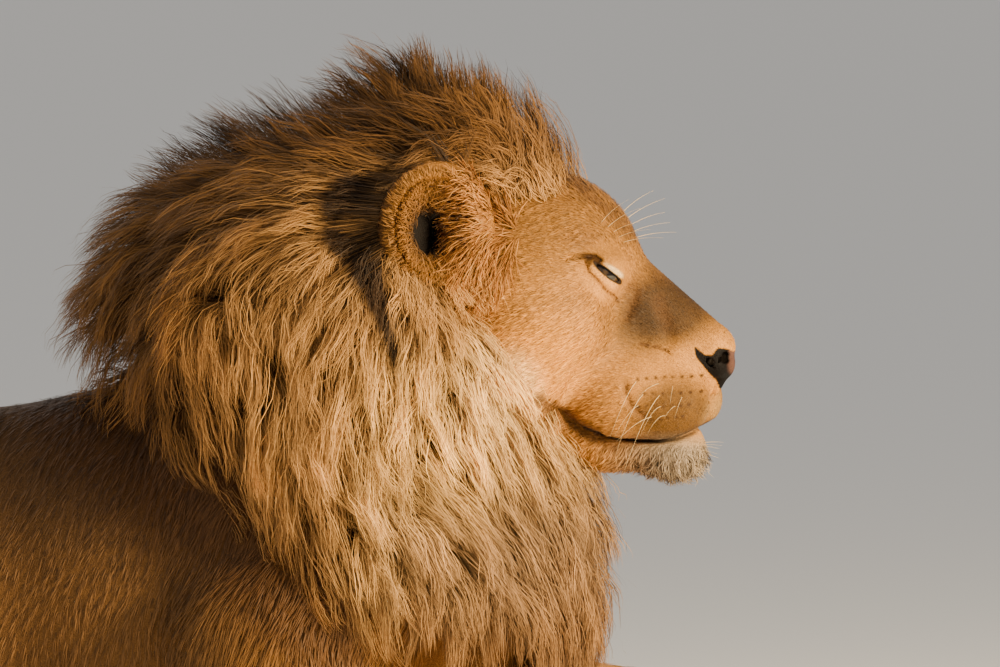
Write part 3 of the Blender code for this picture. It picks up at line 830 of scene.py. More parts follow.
def make_skin():
    mesh = make_skin_mesh()
    mesh.shade_smooth()
    set_tone(mesh, in_parts(coat_tone, read(mesh.vertices, "co", 3)))
    material = tone_material("coat", 0.60, 0.08, bump_scale=620.0, bump_depth=0.0012)
    piece = add_piece("skin", mesh, material)
    bpy.context.view_layer.objects.active = piece
    piece.select_set(True)
    bpy.ops.object.mode_set(mode="EDIT")
    bpy.ops.mesh.select_all(action="SELECT")
    bpy.ops.uv.smart_project(angle_limit=math.radians(66), island_margin=0.002)
    bpy.ops.object.mode_set(mode="OBJECT")
    mesh.uv_layers.active.name = "OFBake"
    flesh = ["head", "jaw", "nose", "trunk", "tail_root", "tail_end"]
    paired = ["ear", "shoulder", "forearm", "forepaw", "thigh", "shank", "hindpaw"]
    flesh += [f"{name}_{side}" for name in paired for side in ("right", "left")]
    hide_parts(*flesh)
    return piece


def make_eye(name, side):
    """An eyeball turned outwards and forwards, with a round pupil, a dark amber iris and a dark rim, painted
    dark partly as shade under the lids.
    """
    bm = bmesh.new()
    bmesh.ops.create_uvsphere(bm, u_segments=64, v_segments=48, radius=EYE_RADIUS - 0.0004)
    mesh = bpy.data.meshes.new("eye")
    bm.to_mesh(mesh)
    bm.free()
    points = read(mesh.vertices, "co", 3)
    gaze = unit(np.array((0.62, side * 0.78, -0.10)))
    angle = np.degrees(np.arccos(np.clip(unit(points) @ gaze, -1, 1)))
    # The eyeball's colours are kept very dark, partly as painted shade under the lids.
    colours = np.repeat(np.array((0.035, 0.022, 0.017))[None], len(points), 0)
    colours = mix(colours, ramp(angle, 40, 36), (0.050, 0.028, 0.012))
    colours = mix(colours, ramp(np.abs(angle - 37), 5, 1), BLACK)
    set_tone(mesh, mix(colours, ramp(angle, 20, 15), BLACK * 0.3))
    mesh.shade_smooth()
    mesh.transform(Matrix.Translation((EYE[0], side * EYE[1], EYE[2])))
    material = tone_material(f"eye_{name}", 0.10, 0.35, coat=0.4)
    piece = add_piece(f"eyeball_{name}", mesh, material)
    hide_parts(f"eye_{name}")


# ---------------------------------------------------------------- roots
class Skin:
    """The skin as triangles, from which roots of hair are drawn."""

    def __init__(self, piece):
        mesh = piece.data
        mesh.calc_loop_triangles()
        self.points = read(mesh.vertices, "co", 3) - np.array(ORIGIN, F)
        self.corners = read(mesh.loop_triangles, "vertices", 3, int)
        self.loops = read(mesh.loop_triangles, "loops", 3, int)
        self.uvs = read(mesh.uv_layers.active.data, "uv", 2)
        a, b, c = (self.points[self.corners[:, k]] for k in range(3))
        across = np.cross(b - a, c - a)
        self.area = np.linalg.norm(across, axis=1) / 2
        self.normal = unit(across).astype(F)
        self.centre = (a + b + c) / 3

    def roots(self, density, count):
        """Roots drawn in proportion to area and density: their points, normals and places on the unwrap."""
        weight, count = self.area * density, int(count)
        faces = RNG.choice(len(weight), count, p=weight / weight.sum())
        u, v = RNG.random((2, count)).astype(F)
        flip = u + v > 1
        u[flip], v[flip] = 1 - u[flip], 1 - v[flip]
        share = np.column_stack((1 - u - v, u, v))
        points = np.einsum("nk,nkd->nd", share, self.points[self.corners[faces]])
        places = np.einsum("nk,nkd->nd", share, self.uvs[self.loops[faces]])
        return points.astype(F), self.normal[faces], places

    def places(self, points):
        """Places on the unwrap of the skin nearest to points."""
        tree = KDTree(len(self.centre))
        for k, centre in enumerate(self.centre):
            tree.insert(centre, k)
        tree.balance()
        faces = np.array([tree.find(point)[1] for point in points])
        return self.uvs[self.loops[faces]].mean(1)


# ---------------------------------------------------------------- ribbons
UNWRAP_PATCH = 0.003  # side of a hair's patch on the unwrap
CUP = 0.75  # how far the shading of a ribbon turns to its sides


def ribbon_piece(name, paths, widths, facing, colours, places, material):
    """Thin flat hairs as one mesh. Paths are (hairs, stations, 3); the last station is the tip."""
    count, stations = paths.shape[:2]
    side = unit(np.cross(unit(np.gradient(paths, axis=1)), facing[:, None, :]))
    shift = (side * widths[:, :, None] / 2)[:, :-1]
    edges = np.stack([paths[:, :-1] - shift, paths[:, :-1] + shift], 2).reshape(count, -1, 3)
    verts = np.concatenate([edges, paths[:, -1:]], 1)
    per, quads = verts.shape[1], stations - 2
    base = (np.arange(count) * per)[:, None, None]
    quad_loops = base + np.arange(quads)[None, :, None] * 2 + np.array([0, 1, 3, 2])
    tip_loops = base + np.array([per - 3, per - 2, per - 1])
    loops = np.concatenate([quad_loops.reshape(count, -1), tip_loops.reshape(count, -1)], 1).ravel()
    sizes = np.tile(np.array([4] * quads + [3]), count)
    mesh = bpy.data.meshes.new(name)
    mesh.vertices.add(count * per)
    mesh.vertices.foreach_set("co", verts.astype(F).ravel())
    mesh.loops.add(len(loops))
    mesh.loops.foreach_set("vertex_index", loops.astype(np.int32))
    mesh.polygons.add(len(sizes))
    mesh.polygons.foreach_set("loop_start", np.concatenate([[0], np.cumsum(sizes)[:-1]]).astype(np.int32))
    mesh.update(calc_edges=True)
    rows = np.concatenate([np.repeat(np.arange(stations - 1), 2), [stations - 1]])
    set_tone(mesh, colours[:, rows].reshape(-1, 3))
    patch = np.column_stack((np.tile([0.0, 1.0], stations)[:per], rows / (stations - 1)))
    spots = places[:, None, :] + (patch[None] - 0.5) * UNWRAP_PATCH
    mesh.uv_layers.new(name="OFBake").data.foreach_set("uv", spots.reshape(-1, 2)[loops].astype(F).ravel())
    sign = np.concatenate([np.tile([-1.0, 1.0], stations - 1), [0.0]])
    normal = unit(facing[:, None, :] + CUP * sign[None, :, None] * side[:, rows])
    mesh.shade_smooth()
    mesh.normals_split_custom_set_from_vertices(normal.reshape(-1, 3).astype(F))
    return add_piece(name, mesh, material)


def in_batches(total, size):
    return np.array_split(np.arange(total), max(1, math.ceil(total / size)))


# ---------------------------------------------------------------- the lie of the coat
LIES = (  # which way the coat lies on each part, as x, a and z
    (TRUNK, (-0.22, 0.05, -0.95)), (SHOULDER, (-0.34, 0.10, -0.90)), (FORELEG, (0.92, 0.0, -0.25)),
    (THIGH, (-0.50, 0.10, -0.85)), (SHANK, (-0.95, 0.0, -0.20)), (HINDPAW, (0.95, 0.0, -0.15)),
    (NECK, (-0.60, 0.10, -0.60)),
)


def body_lie(p):
    """Which way the short coat lies, from the part of the body that a point is nearest."""
    m = folded(p)[0]
    total, lie = np.zeros(len(p)), np.zeros((len(p), 3))
    for group, direction in LIES:
        weight = np.exp(-np.clip(union(group, m, 1.0), -0.02, 1.0) / 0.022)
        total += weight
        lie += weight[:, None] * np.array(direction)
    lie[:, 1] *= np.sign(p[:, 1])
    for a, b in zip(TAIL_ROUTE, TAIL_ROUTE[1:]):
        weight = np.exp(-np.clip(limb(a[:3], a[3], b[:3], b[3])[0](p), -0.02, 1.0) / 0.008) * (p[:, 0] < -1.0)
        total += weight
        lie += weight[:, None] * unit(np.subtract(b[:3], a[:3]))
    return unit(lie / total[:, None])


def face_lie(p):
    """The short hair runs up the nose and the forehead, back over the cheeks and down at the chin."""
    m, x, a, z = folded(p)
    side = ramp(a, 0.02, 0.07)
    lie = columns(x, -0.80, 0.25 * side, 0.75 - 1.05 * side)
    lie = mix(lie, ramp(z, 0.47, 0.41), columns(x, -0.85, 0.30 * side, -0.35))
    lie = mix(lie, ramp(z, 0.385, 0.372), columns(x, -0.45 + 0.80 * ramp(x, 0.150, 0.205), 0.12, -0.9))
    eye = m - np.array(EYE, F)
    ring = 0.9 * ramp(away(m, EYE), 0.045, 0.022)
    lie = lie + unit(eye * np.array((1.0, 0.3, 1.0))) * ring[:, None]
    lie[:, 1] *= np.sign(p[:, 1])
    return unit(lie)


def crown(p):
    """1 on the crest over the forehead, where the hair stands up."""
    return ramp(p[:, 2], 0.610, 0.665) * ramp(np.abs(p[:, 1]), 0.105, 0.045)


def mane_lie(p):
    """Back behind the ears, straight down on the neck, and up along the crest."""
    m, x, a, z = folded(p)
    fall = 14 + (0.72 - z) * 330 + 30 * ramp(x, -0.16, 0.0) + 24 * ramp(x, -0.18, -0.32)
    middle = ramp(a, 0.13, 0.05) * ramp(x, -0.10, -0.18)
    fall = np.radians(np.clip(fall, 6, 101) * (1 - middle) + np.clip(14 + (0.70 - z) * 130, 6, 48) * middle)
    lie = columns(x, -np.cos(fall), 0.10, -np.sin(fall))
    lie = mix(lie, ramp(x, -0.02, 0.06) * ramp(z, 0.44, 0.36), (0.10, 0.08, -1.0))
    back = ramp(x, -0.05, -0.17)
    lie = mix(lie, crown(p), columns(x, -0.30 - 0.55 * back, 0.06 * ramp(a, 0.0, 0.03), 0.95 - 0.60 * back))
    lie[:, 1] *= np.sign(p[:, 1] + 1e-6)
    return unit(lie)


# ---------------------------------------------------------------- short coat
BODY_HAIRS, FACE_HAIRS, EAR_HAIRS, TUFT_HAIRS = 100000, 80000, 10500, 3000
COAT_BATCH, TUFT_BATCH = 60000, 20000  # most hairs in a piece
RIPPLE_LENGTH = 0.0125  # of the faint upright waves in the coat
AWAY_FROM_EAR = (-0.02, 0.085, 0.575)  # the place that the hair round an ear points away from


def scatter(size):
    return RNG.normal(size=size)


def wander(p, scale, seed):
    """A smooth pseudo-random vector field."""
    turn = np.random.default_rng(seed).normal(size=(3, 3)) * scale
    return np.sin(p @ turn + np.random.default_rng(seed + 1).random(3) * TURN)


def patchy(p, scale, seed):
    """An uneven field of small patches between about -1 and 1."""
    a, b = wander(p, scale, seed), wander(p, scale * 1.7, seed + 7)
    return a[:, 0] * a[:, 1] * 0.9 + b[:, 0] * b[:, 2] * 0.7 + 0.3 * a[:, 2] * b[:, 1]


def short_hairs(roots, normals, lie, length, lift, stations=3):
    """Paths of short hairs that leave the skin at a low angle and bend over along it."""
    flat = unit(lie - normals * dot(lie, normals)[:, None])
    steps = np.linspace(0, 1, stations)[None, :, None]
    rise = lift[:, None, None] * np.sin(steps * 1.9) * length[:, None, None]
    paths = roots[:, None] + flat[:, None] * length[:, None, None] * steps + normals[:, None] * rise
    paths[:, :, 2] = np.maximum(paths[:, :, 2], 0.001)
    return paths


def lay_hairs(name, paths, width, normals, ruffle, tone, stations, places, material, batch):
    """Ribbon pieces for a coat, split so that none is too large. Stations give a hair's widths and shades,
    darker at the root as painted shade and lighter at the tip.
    """
    taper, shade = stations
    for k, part in enumerate(in_batches(len(paths), batch)):
        facing = unit(normals[part] + ruffle * scatter((len(part), 3)))
        # Painted shade: each hair darkens towards its root.
        colours = (tone[part][:, None] if tone.ndim == 2 else tone[part]) * np.array(shade)[None, :, None]
        widths = width[part][:, None] * np.array(taper)
        ribbon_piece(f"{name}_{k}", paths[part], widths, facing, colours, places[part], material)


def on_head(p, most=-0.03):
    return (p[:, 0] > -0.10) & (p[:, 2] > 0.325) & (in_parts(mane_form, p) > most)


def ripple(p):
    """The faint upright waves of the coat along the flank."""
    x, y, z = p.T
    wave = x - 0.12 * z + 0.006 * np.sin(z * 38.0 + 2.0) + 0.003 * np.sin(z * 110.0 + x * 40.0)
    return np.sin(wave * 2 * math.pi / RIPPLE_LENGTH) * ramp(x, -0.24, -0.32) * ramp(x, -1.05, -0.85)


def make_short_coat(skin, material):
    centre = skin.centre
    x, y, z = centre.T
    under = in_parts(mane_form, centre) < np.where((x < -0.24) | (z < 0.26), -0.045, -0.022)
    body = (~under & ~on_head(centre) & (z > 0.004)).astype(float)
    body *= 1.0 + 1.8 * ramp(x, -0.55, -0.40) * (y < 0) + 0.5 * paw_spots(centre)
    roots, normals, places = skin.roots(body, BODY_HAIRS * FEW)
    x, y, z = roots.T
    paws, wave, clump = paw_spots(roots), ripple(roots), patchy(roots, 160.0, 31)
    lie = unit(body_lie(roots) + 0.12 * wander(roots, 30.0, 3) + 0.08 * scatter(roots.shape))
    shoulder = ramp(x, -0.36, -0.20) * ramp(x, 0.02, -0.06) * ramp(z, 0.05, 0.12)
    length = np.where(paws, 0.011, 0.019) * (0.65 + 0.6 * RNG.random(len(x))) * (1.0 + 0.6 * shoulder)
    lift = 0.10 + 0.07 * RNG.random(len(x)) + 0.10 * shoulder + 0.09 * wave + 0.03 * clump
    paths = short_hairs(roots - normals * 0.0015, normals, lie, length, lift)
    # The ripples are painted lighter and darker besides their lift: painted light and shade on the waves.
    shade = 0.84 + 0.28 * RNG.random((len(x), 1)) + 0.42 * wave[:, None] + 0.10 * clump[:, None]
    tone = coat_tone(roots) * shade
    width = np.where(paws, 0.0009, 0.0013)
    stations = (0.9, 1.0, 0.0), (0.82, 1.0, 1.14)
    lay_hairs("coat_body", paths, width, normals, 0.12, tone, stations, places, material, COAT_BATCH)


def make_face_coat(skin, material):
    centre = skin.centre
    m, x, a, z = folded(centre)
    along, out, up = slit_space(m, 0.0)
    bare = in_parts(nose_leather, m) > 0.4
    bare |= (away(m, EYE) < 0.026) & (np.hypot(up / 0.0048, along / 0.021) < 1.0)
    bare |= (away(m, EAR) < 0.090) & (in_parts(lambda q: union(EAR_HOLLOW, q), m) < 0.004)
    bare |= path_distance(x, z, MOUTH[:7]) < 0.0016
    density = (on_head(centre, -0.035) & ~bare) * (1.0 + 0.6 * (centre[:, 1] < 0))
    roots, normals, places = skin.roots(density, FACE_HAIRS * FEW)
    m, x, a, z = folded(roots)
    count = len(x)
    lie = unit(face_lie(roots) + 0.10 * wander(roots, 60.0, 5) + 0.12 * scatter(roots.shape))
    front, chin = ramp(x, 0.10, 0.19), ramp(z, 0.386, 0.362) * ramp(x, 0.07, 0.19)
    length = (0.0086 - 0.0044 * front) * (0.65 + 0.6 * RNG.random(count))
    length = length + chin * (0.002 + 0.012 * RNG.random(count) ** 2)
    lie = unit(lie + 0.55 * chin[:, None] * wander(roots, 420.0, 41))
    ear = ramp(away(m, EAR), 0.080, 0.066)
    length = length * (1 - 0.55 * ramp(away(m, EYE), 0.040, 0.024)) * (1 - 0.30 * ear)
    outwards = unit(unit(m - np.array(AWAY_FROM_EAR, F)) + np.array((-0.35, 0.0, -0.45), F))
    outwards[:, 1] *= np.sign(roots[:, 1])
    lie = unit(mix(lie, ear, outwards * 1.2))
    clump = patchy(roots, 420.0, 51)
    lift = (0.20 + 0.14 * RNG.random(count)) * (1.0 - 0.45 * ear) + 0.30 * chin + 0.10 * clump
    paths = short_hairs(roots - normals * 0.0008, normals, lie, length, lift)
    tone = in_parts(coat_tone, paths.reshape(-1, 3).astype(F)).reshape(count, 3, 3)
    tone = tone * (0.80 + 0.36 * RNG.random((count, 1)) + 0.32 * clump[:, None])[:, :, None]
    width = 0.00055 + 0.0003 * chin + 0.0003 * (1 - front)
    stations = (1.0, 0.95, 0.0), (0.70, 1.0, 1.20)
    lay_hairs("coat_face", paths, width, normals, 0.16, tone, stations, places, material, COAT_BATCH)


def make_ear_hair(skin, material):
    """A soft lining, and long hair that fans from the front edge across the cup."""
    m = folded(skin.centre)[0]
    out, back, up = ear_space(m).T
    open_side = (in_parts(lambda q: union(EAR_HOLLOW, q), m) < 0.007) | (back < -0.034)
    density = (away(m, EAR) < 0.088) & (out > -0.020) & open_side
    density = density * (1.0 + 0.6 * (back < -0.01) + 1.2 * (back > 0.0))
    roots, normals, places = skin.roots(density, EAR_HAIRS * max(FEW, 0.4))
    out, back, up = ear_space(folded(roots)[0]).T
    front = ramp(back, 0.000, -0.022)
    fan = columns(out, 0.45, back + 0.088, 1.1 * (up + 0.010))
    fan[:, 1:] = unit(fan[:, 1:])
    edge = np.hypot(back / 0.055, up / 0.060)
    lining = columns(out, 0.45, 1.1 * (back - 0.004) / 0.04, 1.1 * (up + 0.004) / 0.05)
    local = mix(lining, front, fan) + 0.32 * scatter(roots.shape) + 0.20 * wander(roots, 70.0, 23)
    lie = unit(local) @ turned(yaw=EAR_YAW).T
    lie[:, 1] *= np.sign(roots[:, 1])
    length = 0.017 + 0.013 * front * ramp(edge, 0.1, 0.7) + 0.004 * ramp(back, 0.015, 0.040)
    length = length * (0.6 + 0.7 * RNG.random(len(roots)))
    length = length * (1.0 - 0.60 * (1.0 - front) * ramp(edge, 0.70, 0.95))
    steps = np.linspace(0, 1, 5)[None, :, None]
    bend = np.array((0.0, 0.0, -0.25)) * steps ** 2
    loose = roots[:, None] + (lie[:, None] * steps + bend) * length[:, None, None]
    close = short_hairs(roots, normals, lie, length, 0.30 + 0.35 * RNG.random(len(roots)), 5)
    paths = close + (loose - close) * front[:, None, None]
    seen = ear_space(folded(paths.reshape(-1, 3))[0]).reshape(paths.shape)
    shown = (np.hypot((seen[:, :, 1] - 0.011) / 0.009, (seen[:, :, 2] + 0.009) / 0.019) > 1.0).all(1)
    roots, normals, places, paths, front, out = (
        values[shown] for values in (roots, normals, places, paths, front, out)
    )
    base = mix(coat_tone(roots), 0.80 * front, GOLD * (0.66, 0.52, 0.40))
    base = mix(base, 0.75 * (1.0 - front) * ramp(out, -0.014, 0.004), (0.36, 0.160, 0.036))
    tone = mix(base, 0.4 * front * RNG.random(len(roots)) ** 2, BLOND)
    tone = tone * (0.70 + 0.45 * RNG.random((len(roots), 1)))
    stations = (0.9, 1.0, 0.8, 0.5, 0.0), (0.55, 0.85, 1.05, 1.2, 1.3)
    width = 0.0008 + 0.0004 * front
    lay_hairs(
        "ear_hair", paths, width, normals, 0.3, tone, stations, places, material, TUFT_BATCH,
    )


def make_tail_tuft(skin, material):
    x, y, z = skin.centre.T
    density = ((x > -0.93) & (x < -0.72) & (y < -0.325) & (z < 0.06)).astype(float)
    roots, normals, places = skin.roots(density, TUFT_HAIRS * max(FEW, 0.4))
    x, y, z = roots.T
    steps = np.linspace(0, 1, 6)[None, :, None]
    lie = unit(np.array((1.0, 0.06, 0.05)) + 0.35 * normals + 0.10 * scatter(roots.shape))
    along = ramp(x, -0.93, -0.86) * ramp(x, -0.72, -0.80)
    length = 0.020 + 0.050 * along + 0.02 * RNG.random(len(x))
    inwards = columns(x, 0.0, -(y + 0.36), -(z - 0.022)) * 4.0
    straight = roots[:, None] + lie[:, None] * steps * length[:, None, None]
    paths = straight + inwards[:, None] * 0.12 * steps ** 2
    paths[:, :, 2] = np.maximum(paths[:, :, 2], 0.003)
    tone = UMBER * 0.75 * (0.7 + 0.8 * RNG.random((len(x), 1)))
    stations = (0.8, 1.0, 1.0, 0.8, 0.5, 0.0), (0.7, 0.9, 1.0, 1.1, 1.2, 1.2)
    width = np.full(len(x), 0.0016)
    lay_hairs(
        "tail_tuft_hair", paths, width, normals, 0.3, tone, stations, places,
        material, TUFT_BATCH,
    )


# ---------------------------------------------------------------- mane
LOCKS, LOCK_HAIRS = 2850, 20  # locks in the mane, and hairs in a lock
LOCK_WIDTH = 0.0085
LEADERS, PULL = 0.17, 0.34  # share of the locks that others lean towards, and how far
BACK_STEPS, BACK_STEP = 25, 0.012  # how a lock is followed back from its tip
FROM_TIP = np.array([0.130, 0.098, 0.072, 0.051, 0.034, 0.019, 0.008, 0.0])  # stations after the root
TAPER = np.array([1.0, 1.1, 1.1, 1.05, 1.0, 0.9, 0.75, 0.5, 0.0])  # width of a hair from its root to its tip
STATIONS = len(TAPER)
MANE_CELL, MANE_BATCH = 0.016, 12500  # cell of the form that tips are spread over, and hairs in a piece


def out_of_mane(p):
    return unit(in_parts(lambda q: field_slope(mane_mass, q, 0.002), p))


def mane_tips(count):
    """Tips spread evenly over the mane's outer form and a little below it."""
    points, quads = surface_net(mane_form, (-0.56, -0.30, 0.0), (0.16, 0.30, 0.84), MANE_CELL)
    a, b, c, d = (points[quads[:, k]] for k in range(4))
    centre = (a + b + c + d) / 4
    halves = np.cross(b - a, d - a), np.cross(b - c, d - c)
    area = sum(np.linalg.norm(half, axis=1) for half in halves) / 2
    weight = area * (in_parts(skin_field, centre) > 0.004)
    weight *= 1.0 + 0.6 * (centre[:, 1] < 0) + 0.5 * crown(centre)
    face = RNG.choice(len(quads), count, p=weight / weight.sum())
    u, v = RNG.random((2, count, 1))
    tips = (a[face] * (1 - u) + b[face] * u) * (1 - v) + (d[face] * (1 - u) + c[face] * u) * v
    top = crown(tips)
    layer = 0.045 * RNG.random(count) ** 1.7 * (1.0 - 0.4 * top) - 0.004
    layer -= (0.004 + 0.022 * RNG.random(count) ** 3) * top
    return (tips - out_of_mane(tips.astype(F)) * layer[:, None]).astype(F), np.maximum(layer, 0.0)


def trace_back(tips):
    """Follows locks from their tips back against the lie of the mane, ever deeper, down to the skin."""
    paths = np.empty((len(tips), BACK_STEPS + 1, 3), F)
    paths[:, 0] = p = tips
    own = 0.12 * wander(tips, 25.0, 11) + 0.15 * scatter(tips.shape)
    for k in range(1, BACK_STEPS + 1):
        out = out_of_mane(p)
        lie = unit(mane_lie(p) + own + 0.16 * wander(p, 18.0, 17))
        lie = lie - out * (dot(lie, out) * (1.0 - crown(p)))[:, None]
        dive = float(ramp(np.array(k), 1.0, 13.0))
        off_skin = unit(in_parts(lambda q: field_slope(skin_field, q, 0.002), p))
        close = ramp(in_parts(skin_field, p), 0.030, 0.008) * (1.0 - dive) ** 2
        lie = lie - off_skin * (np.minimum(dot(lie, off_skin), 0.0) * close)[:, None]
        up = unit(out * (1.0 - dive) + off_skin * dive)
        p = (p - BACK_STEP * unit(lie * (1.0 - 0.6 * dive) + up * (0.14 + 0.9 * dive))).astype(F)
        paths[:, k] = p
    return paths


def root_distance(paths):
    """How far back from its tip each lock meets the skin; 0 where it never does."""
    value = in_parts(skin_field, paths.reshape(-1, 3)).reshape(paths.shape[:2])
    inside = value < 0
    first, row = inside.argmax(1), np.arange(len(paths))
    before, after = value[row, np.maximum(first - 1, 0)], value[row, first]
    share = before / np.maximum(before - after, 1e-6)
    return np.where(inside.any(1) & (first > 0), (first - 1 + share) * BACK_STEP, 0.0)


def along_path(paths, owner, distance):
    """Points on the owners' paths at distances from the tip."""
    fine = np.clip(distance / BACK_STEP, 0.0, BACK_STEPS - 1e-3)
    low = fine.astype(int)
    share = (fine - low)[:, :, None]
    return paths[owner[:, None], low] * (1 - share) + paths[owner[:, None], low + 1] * share


def over_ear(hairs):
    """True for hairs that would hang across the open ear or the hollow behind it."""
    m = folded(hairs.reshape(-1, 3))[0]
    out, back, up = ear_space(m).T
    inside = (np.hypot((back - 0.004) / 0.054, (up - 0.004) / 0.056) < 1.0) & (out > -0.005) & (out < 0.10)
    inside |= in_parts(lambda q: union(MANE_GAP, q, 0.02), m.astype(F)) < -0.014
    return inside.reshape(hairs.shape[:2]).any(1)


def make_mane(skin, material):
    """Locks of wavy hair, each followed back from its tip, so that tips lie over the whole form in layers."""
    tips, layer = mane_tips(int(LOCKS * FEW))
    paths = trace_back(tips)
    reach = root_distance(paths)
    kept = reach > 0.015
    paths, reach, layer = paths[kept], reach[kept], layer[kept]
    count = len(paths)
    leaders = paths[RNG.choice(count, int(count * LEADERS), replace=False), 0]
    gaps = np.linalg.norm(paths[:, None, 0] - leaders[None], axis=2)
    gap = gaps.min(1)
    pull = (leaders[gaps.argmin(1)] - paths[:, 0]) * (PULL * ramp(gap, 0.050, 0.012))[:, None]
    fade = ramp(np.arange(BACK_STEPS + 1) * BACK_STEP, 0.090, 0.0)
    paths = paths + pull[:, None] * fade[None, :, None]
    owner = np.repeat(np.arange(count), LOCK_HAIRS)
    total = len(owner)

    def each(values):
        """A lock's values, given to each of its hairs."""
        return values[owner][:, None]

    short = 0.040 * RNG.random(total) ** 1.5 * np.minimum(reach[owner] / 0.15, 1.0)
    scale = np.minimum(1.0, (reach[owner] - short) / 0.170)
    distance = np.column_stack((reach[owner] + 0.003, short[:, None] + FROM_TIP[None] * scale[:, None]))
    hairs = along_path(paths, owner, distance)
    near = along_path(paths, np.arange(count), np.tile([0.012, 0.060], (count, 1)))
    along = unit(near[:, 0] - near[:, 1])
    out = out_of_mane(near[:, 0].astype(F))
    side = unit(np.cross(along, out))
    rise = np.cross(side, along)
    width = LOCK_WIDTH * (0.7 + 0.6 * RNG.random(count))[owner]
    aside, above = scatter((2, total)) * width
    above *= 0.6
    from_tip = distance - short[:, None]
    narrow = 1.0 - each(0.50 + 0.28 * RNG.random(count)) * ramp(from_tip, 0.085, 0.0)
    stray = np.where(RNG.random(total) < 0.15, 2.8, 1.0)[:, None]
    swell = 0.35 + 0.65 * ramp(from_tip, 0.150, 0.030)
    turns = TURN * distance / each(0.040 + 0.035 * RNG.random(count))
    phase = (TURN * RNG.random((2, count)))[:, owner] + 0.35 * scatter((2, total))
    size = each(0.0008 + 0.0016 * RNG.random(count)) * swell
    wave, roll = size * np.sin(turns + phase[0][:, None]), 0.6 * size * np.sin(turns + phase[1][:, None])
    frizz = 0.00045 * scatter((2, total, STATIONS)) * stray * ramp(from_tip, 0.100, 0.020)
    drift = 0.0032 * scatter((2, total, 1)) * stray * ramp(from_tip, 0.090, 0.0)
    flick = each(0.008 * RNG.random(count) ** 2) * ramp(from_tip, 0.040, 0.0)
    sideways = aside[:, None] * narrow + wave + frizz[0] + drift[0]
    upwards = above[:, None] * narrow + roll + frizz[1] + drift[1] + flick
    hairs = hairs + side[owner][:, None] * sideways[:, :, None] + rise[owner][:, None] * upwards[:, :, None]
    hairs[:, :, 2] = np.maximum(hairs[:, :, 2], 0.003)
    keep = ~over_ear(hairs)
    hairs, owner, from_tip, aside, above, width = (
        values[keep] for values in (hairs, owner, from_tip, aside, above, width)
    )
    total = len(owner)
    facing = out[owner] + side[owner] * (0.40 * aside / width)[:, None] + 0.16 * scatter((total, 3))
    # Painted shade: locks away from a clump's leader and in deeper layers, and hairs on a lock's under side,
    # are darker; along each hair the colour darkens from the tip towards the root, painted shade of the
    # mane's depth with painted light on the tips.
    own = (0.74 + 0.44 * RNG.random(count)) * (1.06 - 0.30 * ramp(gap, 0.006, 0.026))
    own = own * (1.0 - 0.50 * layer / 0.045)
    own = own[owner] * (0.92 + 0.16 * RNG.random(total)) * (1.0 + 0.10 * np.clip(above / width, -1.5, 1.0))
    tone = in_parts(mane_tone, hairs.reshape(-1, 3).astype(F)).reshape(total, STATIONS, 3)
    tone = tone * own[:, None, None] * (0.42 + 0.70 * ramp(from_tip, 0.130, 0.004))[:, :, None]
    widths = TAPER[None] * (0.0005 + 0.0004 * RNG.random((total, 1)))
    places = skin.places(hairs[:, 0])
    for k, part in enumerate(in_batches(total, MANE_BATCH)):
        piece = ribbon_piece(
            f"mane_locks_{k}", hairs[part], widths[part], unit(facing[part]), tone[part], places[part],
            material,
        )
        if k == 0:
            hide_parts("mane", "mane_crest", "mane_bib", "tail_tuft")


# ---------------------------------------------------------------- whiskers
def tube_piece(name, paths, radii, colour, material, sides=5):
    """Thin round bristles, tapered to their tips."""
    stations = paths.shape[1]
    along = unit(np.gradient(paths, axis=1))
    first = unit(np.cross(along, np.array((0.3, 0.2, 1.0))))[:, :, None]
    second = np.cross(along, first[:, :, 0])[:, :, None]
    angle = (np.arange(sides) * 2 * math.pi / sides)[None, None, :, None]
    ring = first * np.cos(angle) + second * np.sin(angle)
    verts = (paths[:, :, None] + ring * radii[:, :, None, None]).reshape(-1, 3)
    faces = []
    for base in range(0, len(verts), sides):
        if (base // sides) % stations < stations - 1:
            corners = [(base + j, base + (j + 1) % sides) for j in range(sides)]
            faces += [(a, b, b + sides, a + sides) for a, b in corners]
        else:
            faces.append(tuple(range(base, base + sides)))
    mesh = bpy.data.meshes.new(name)
    mesh.from_pydata(verts.tolist(), [], faces)
    set_tone(mesh, np.repeat(colour[None], len(verts), 0))
    mesh.shade_smooth()
    return add_piece(name, mesh, material)


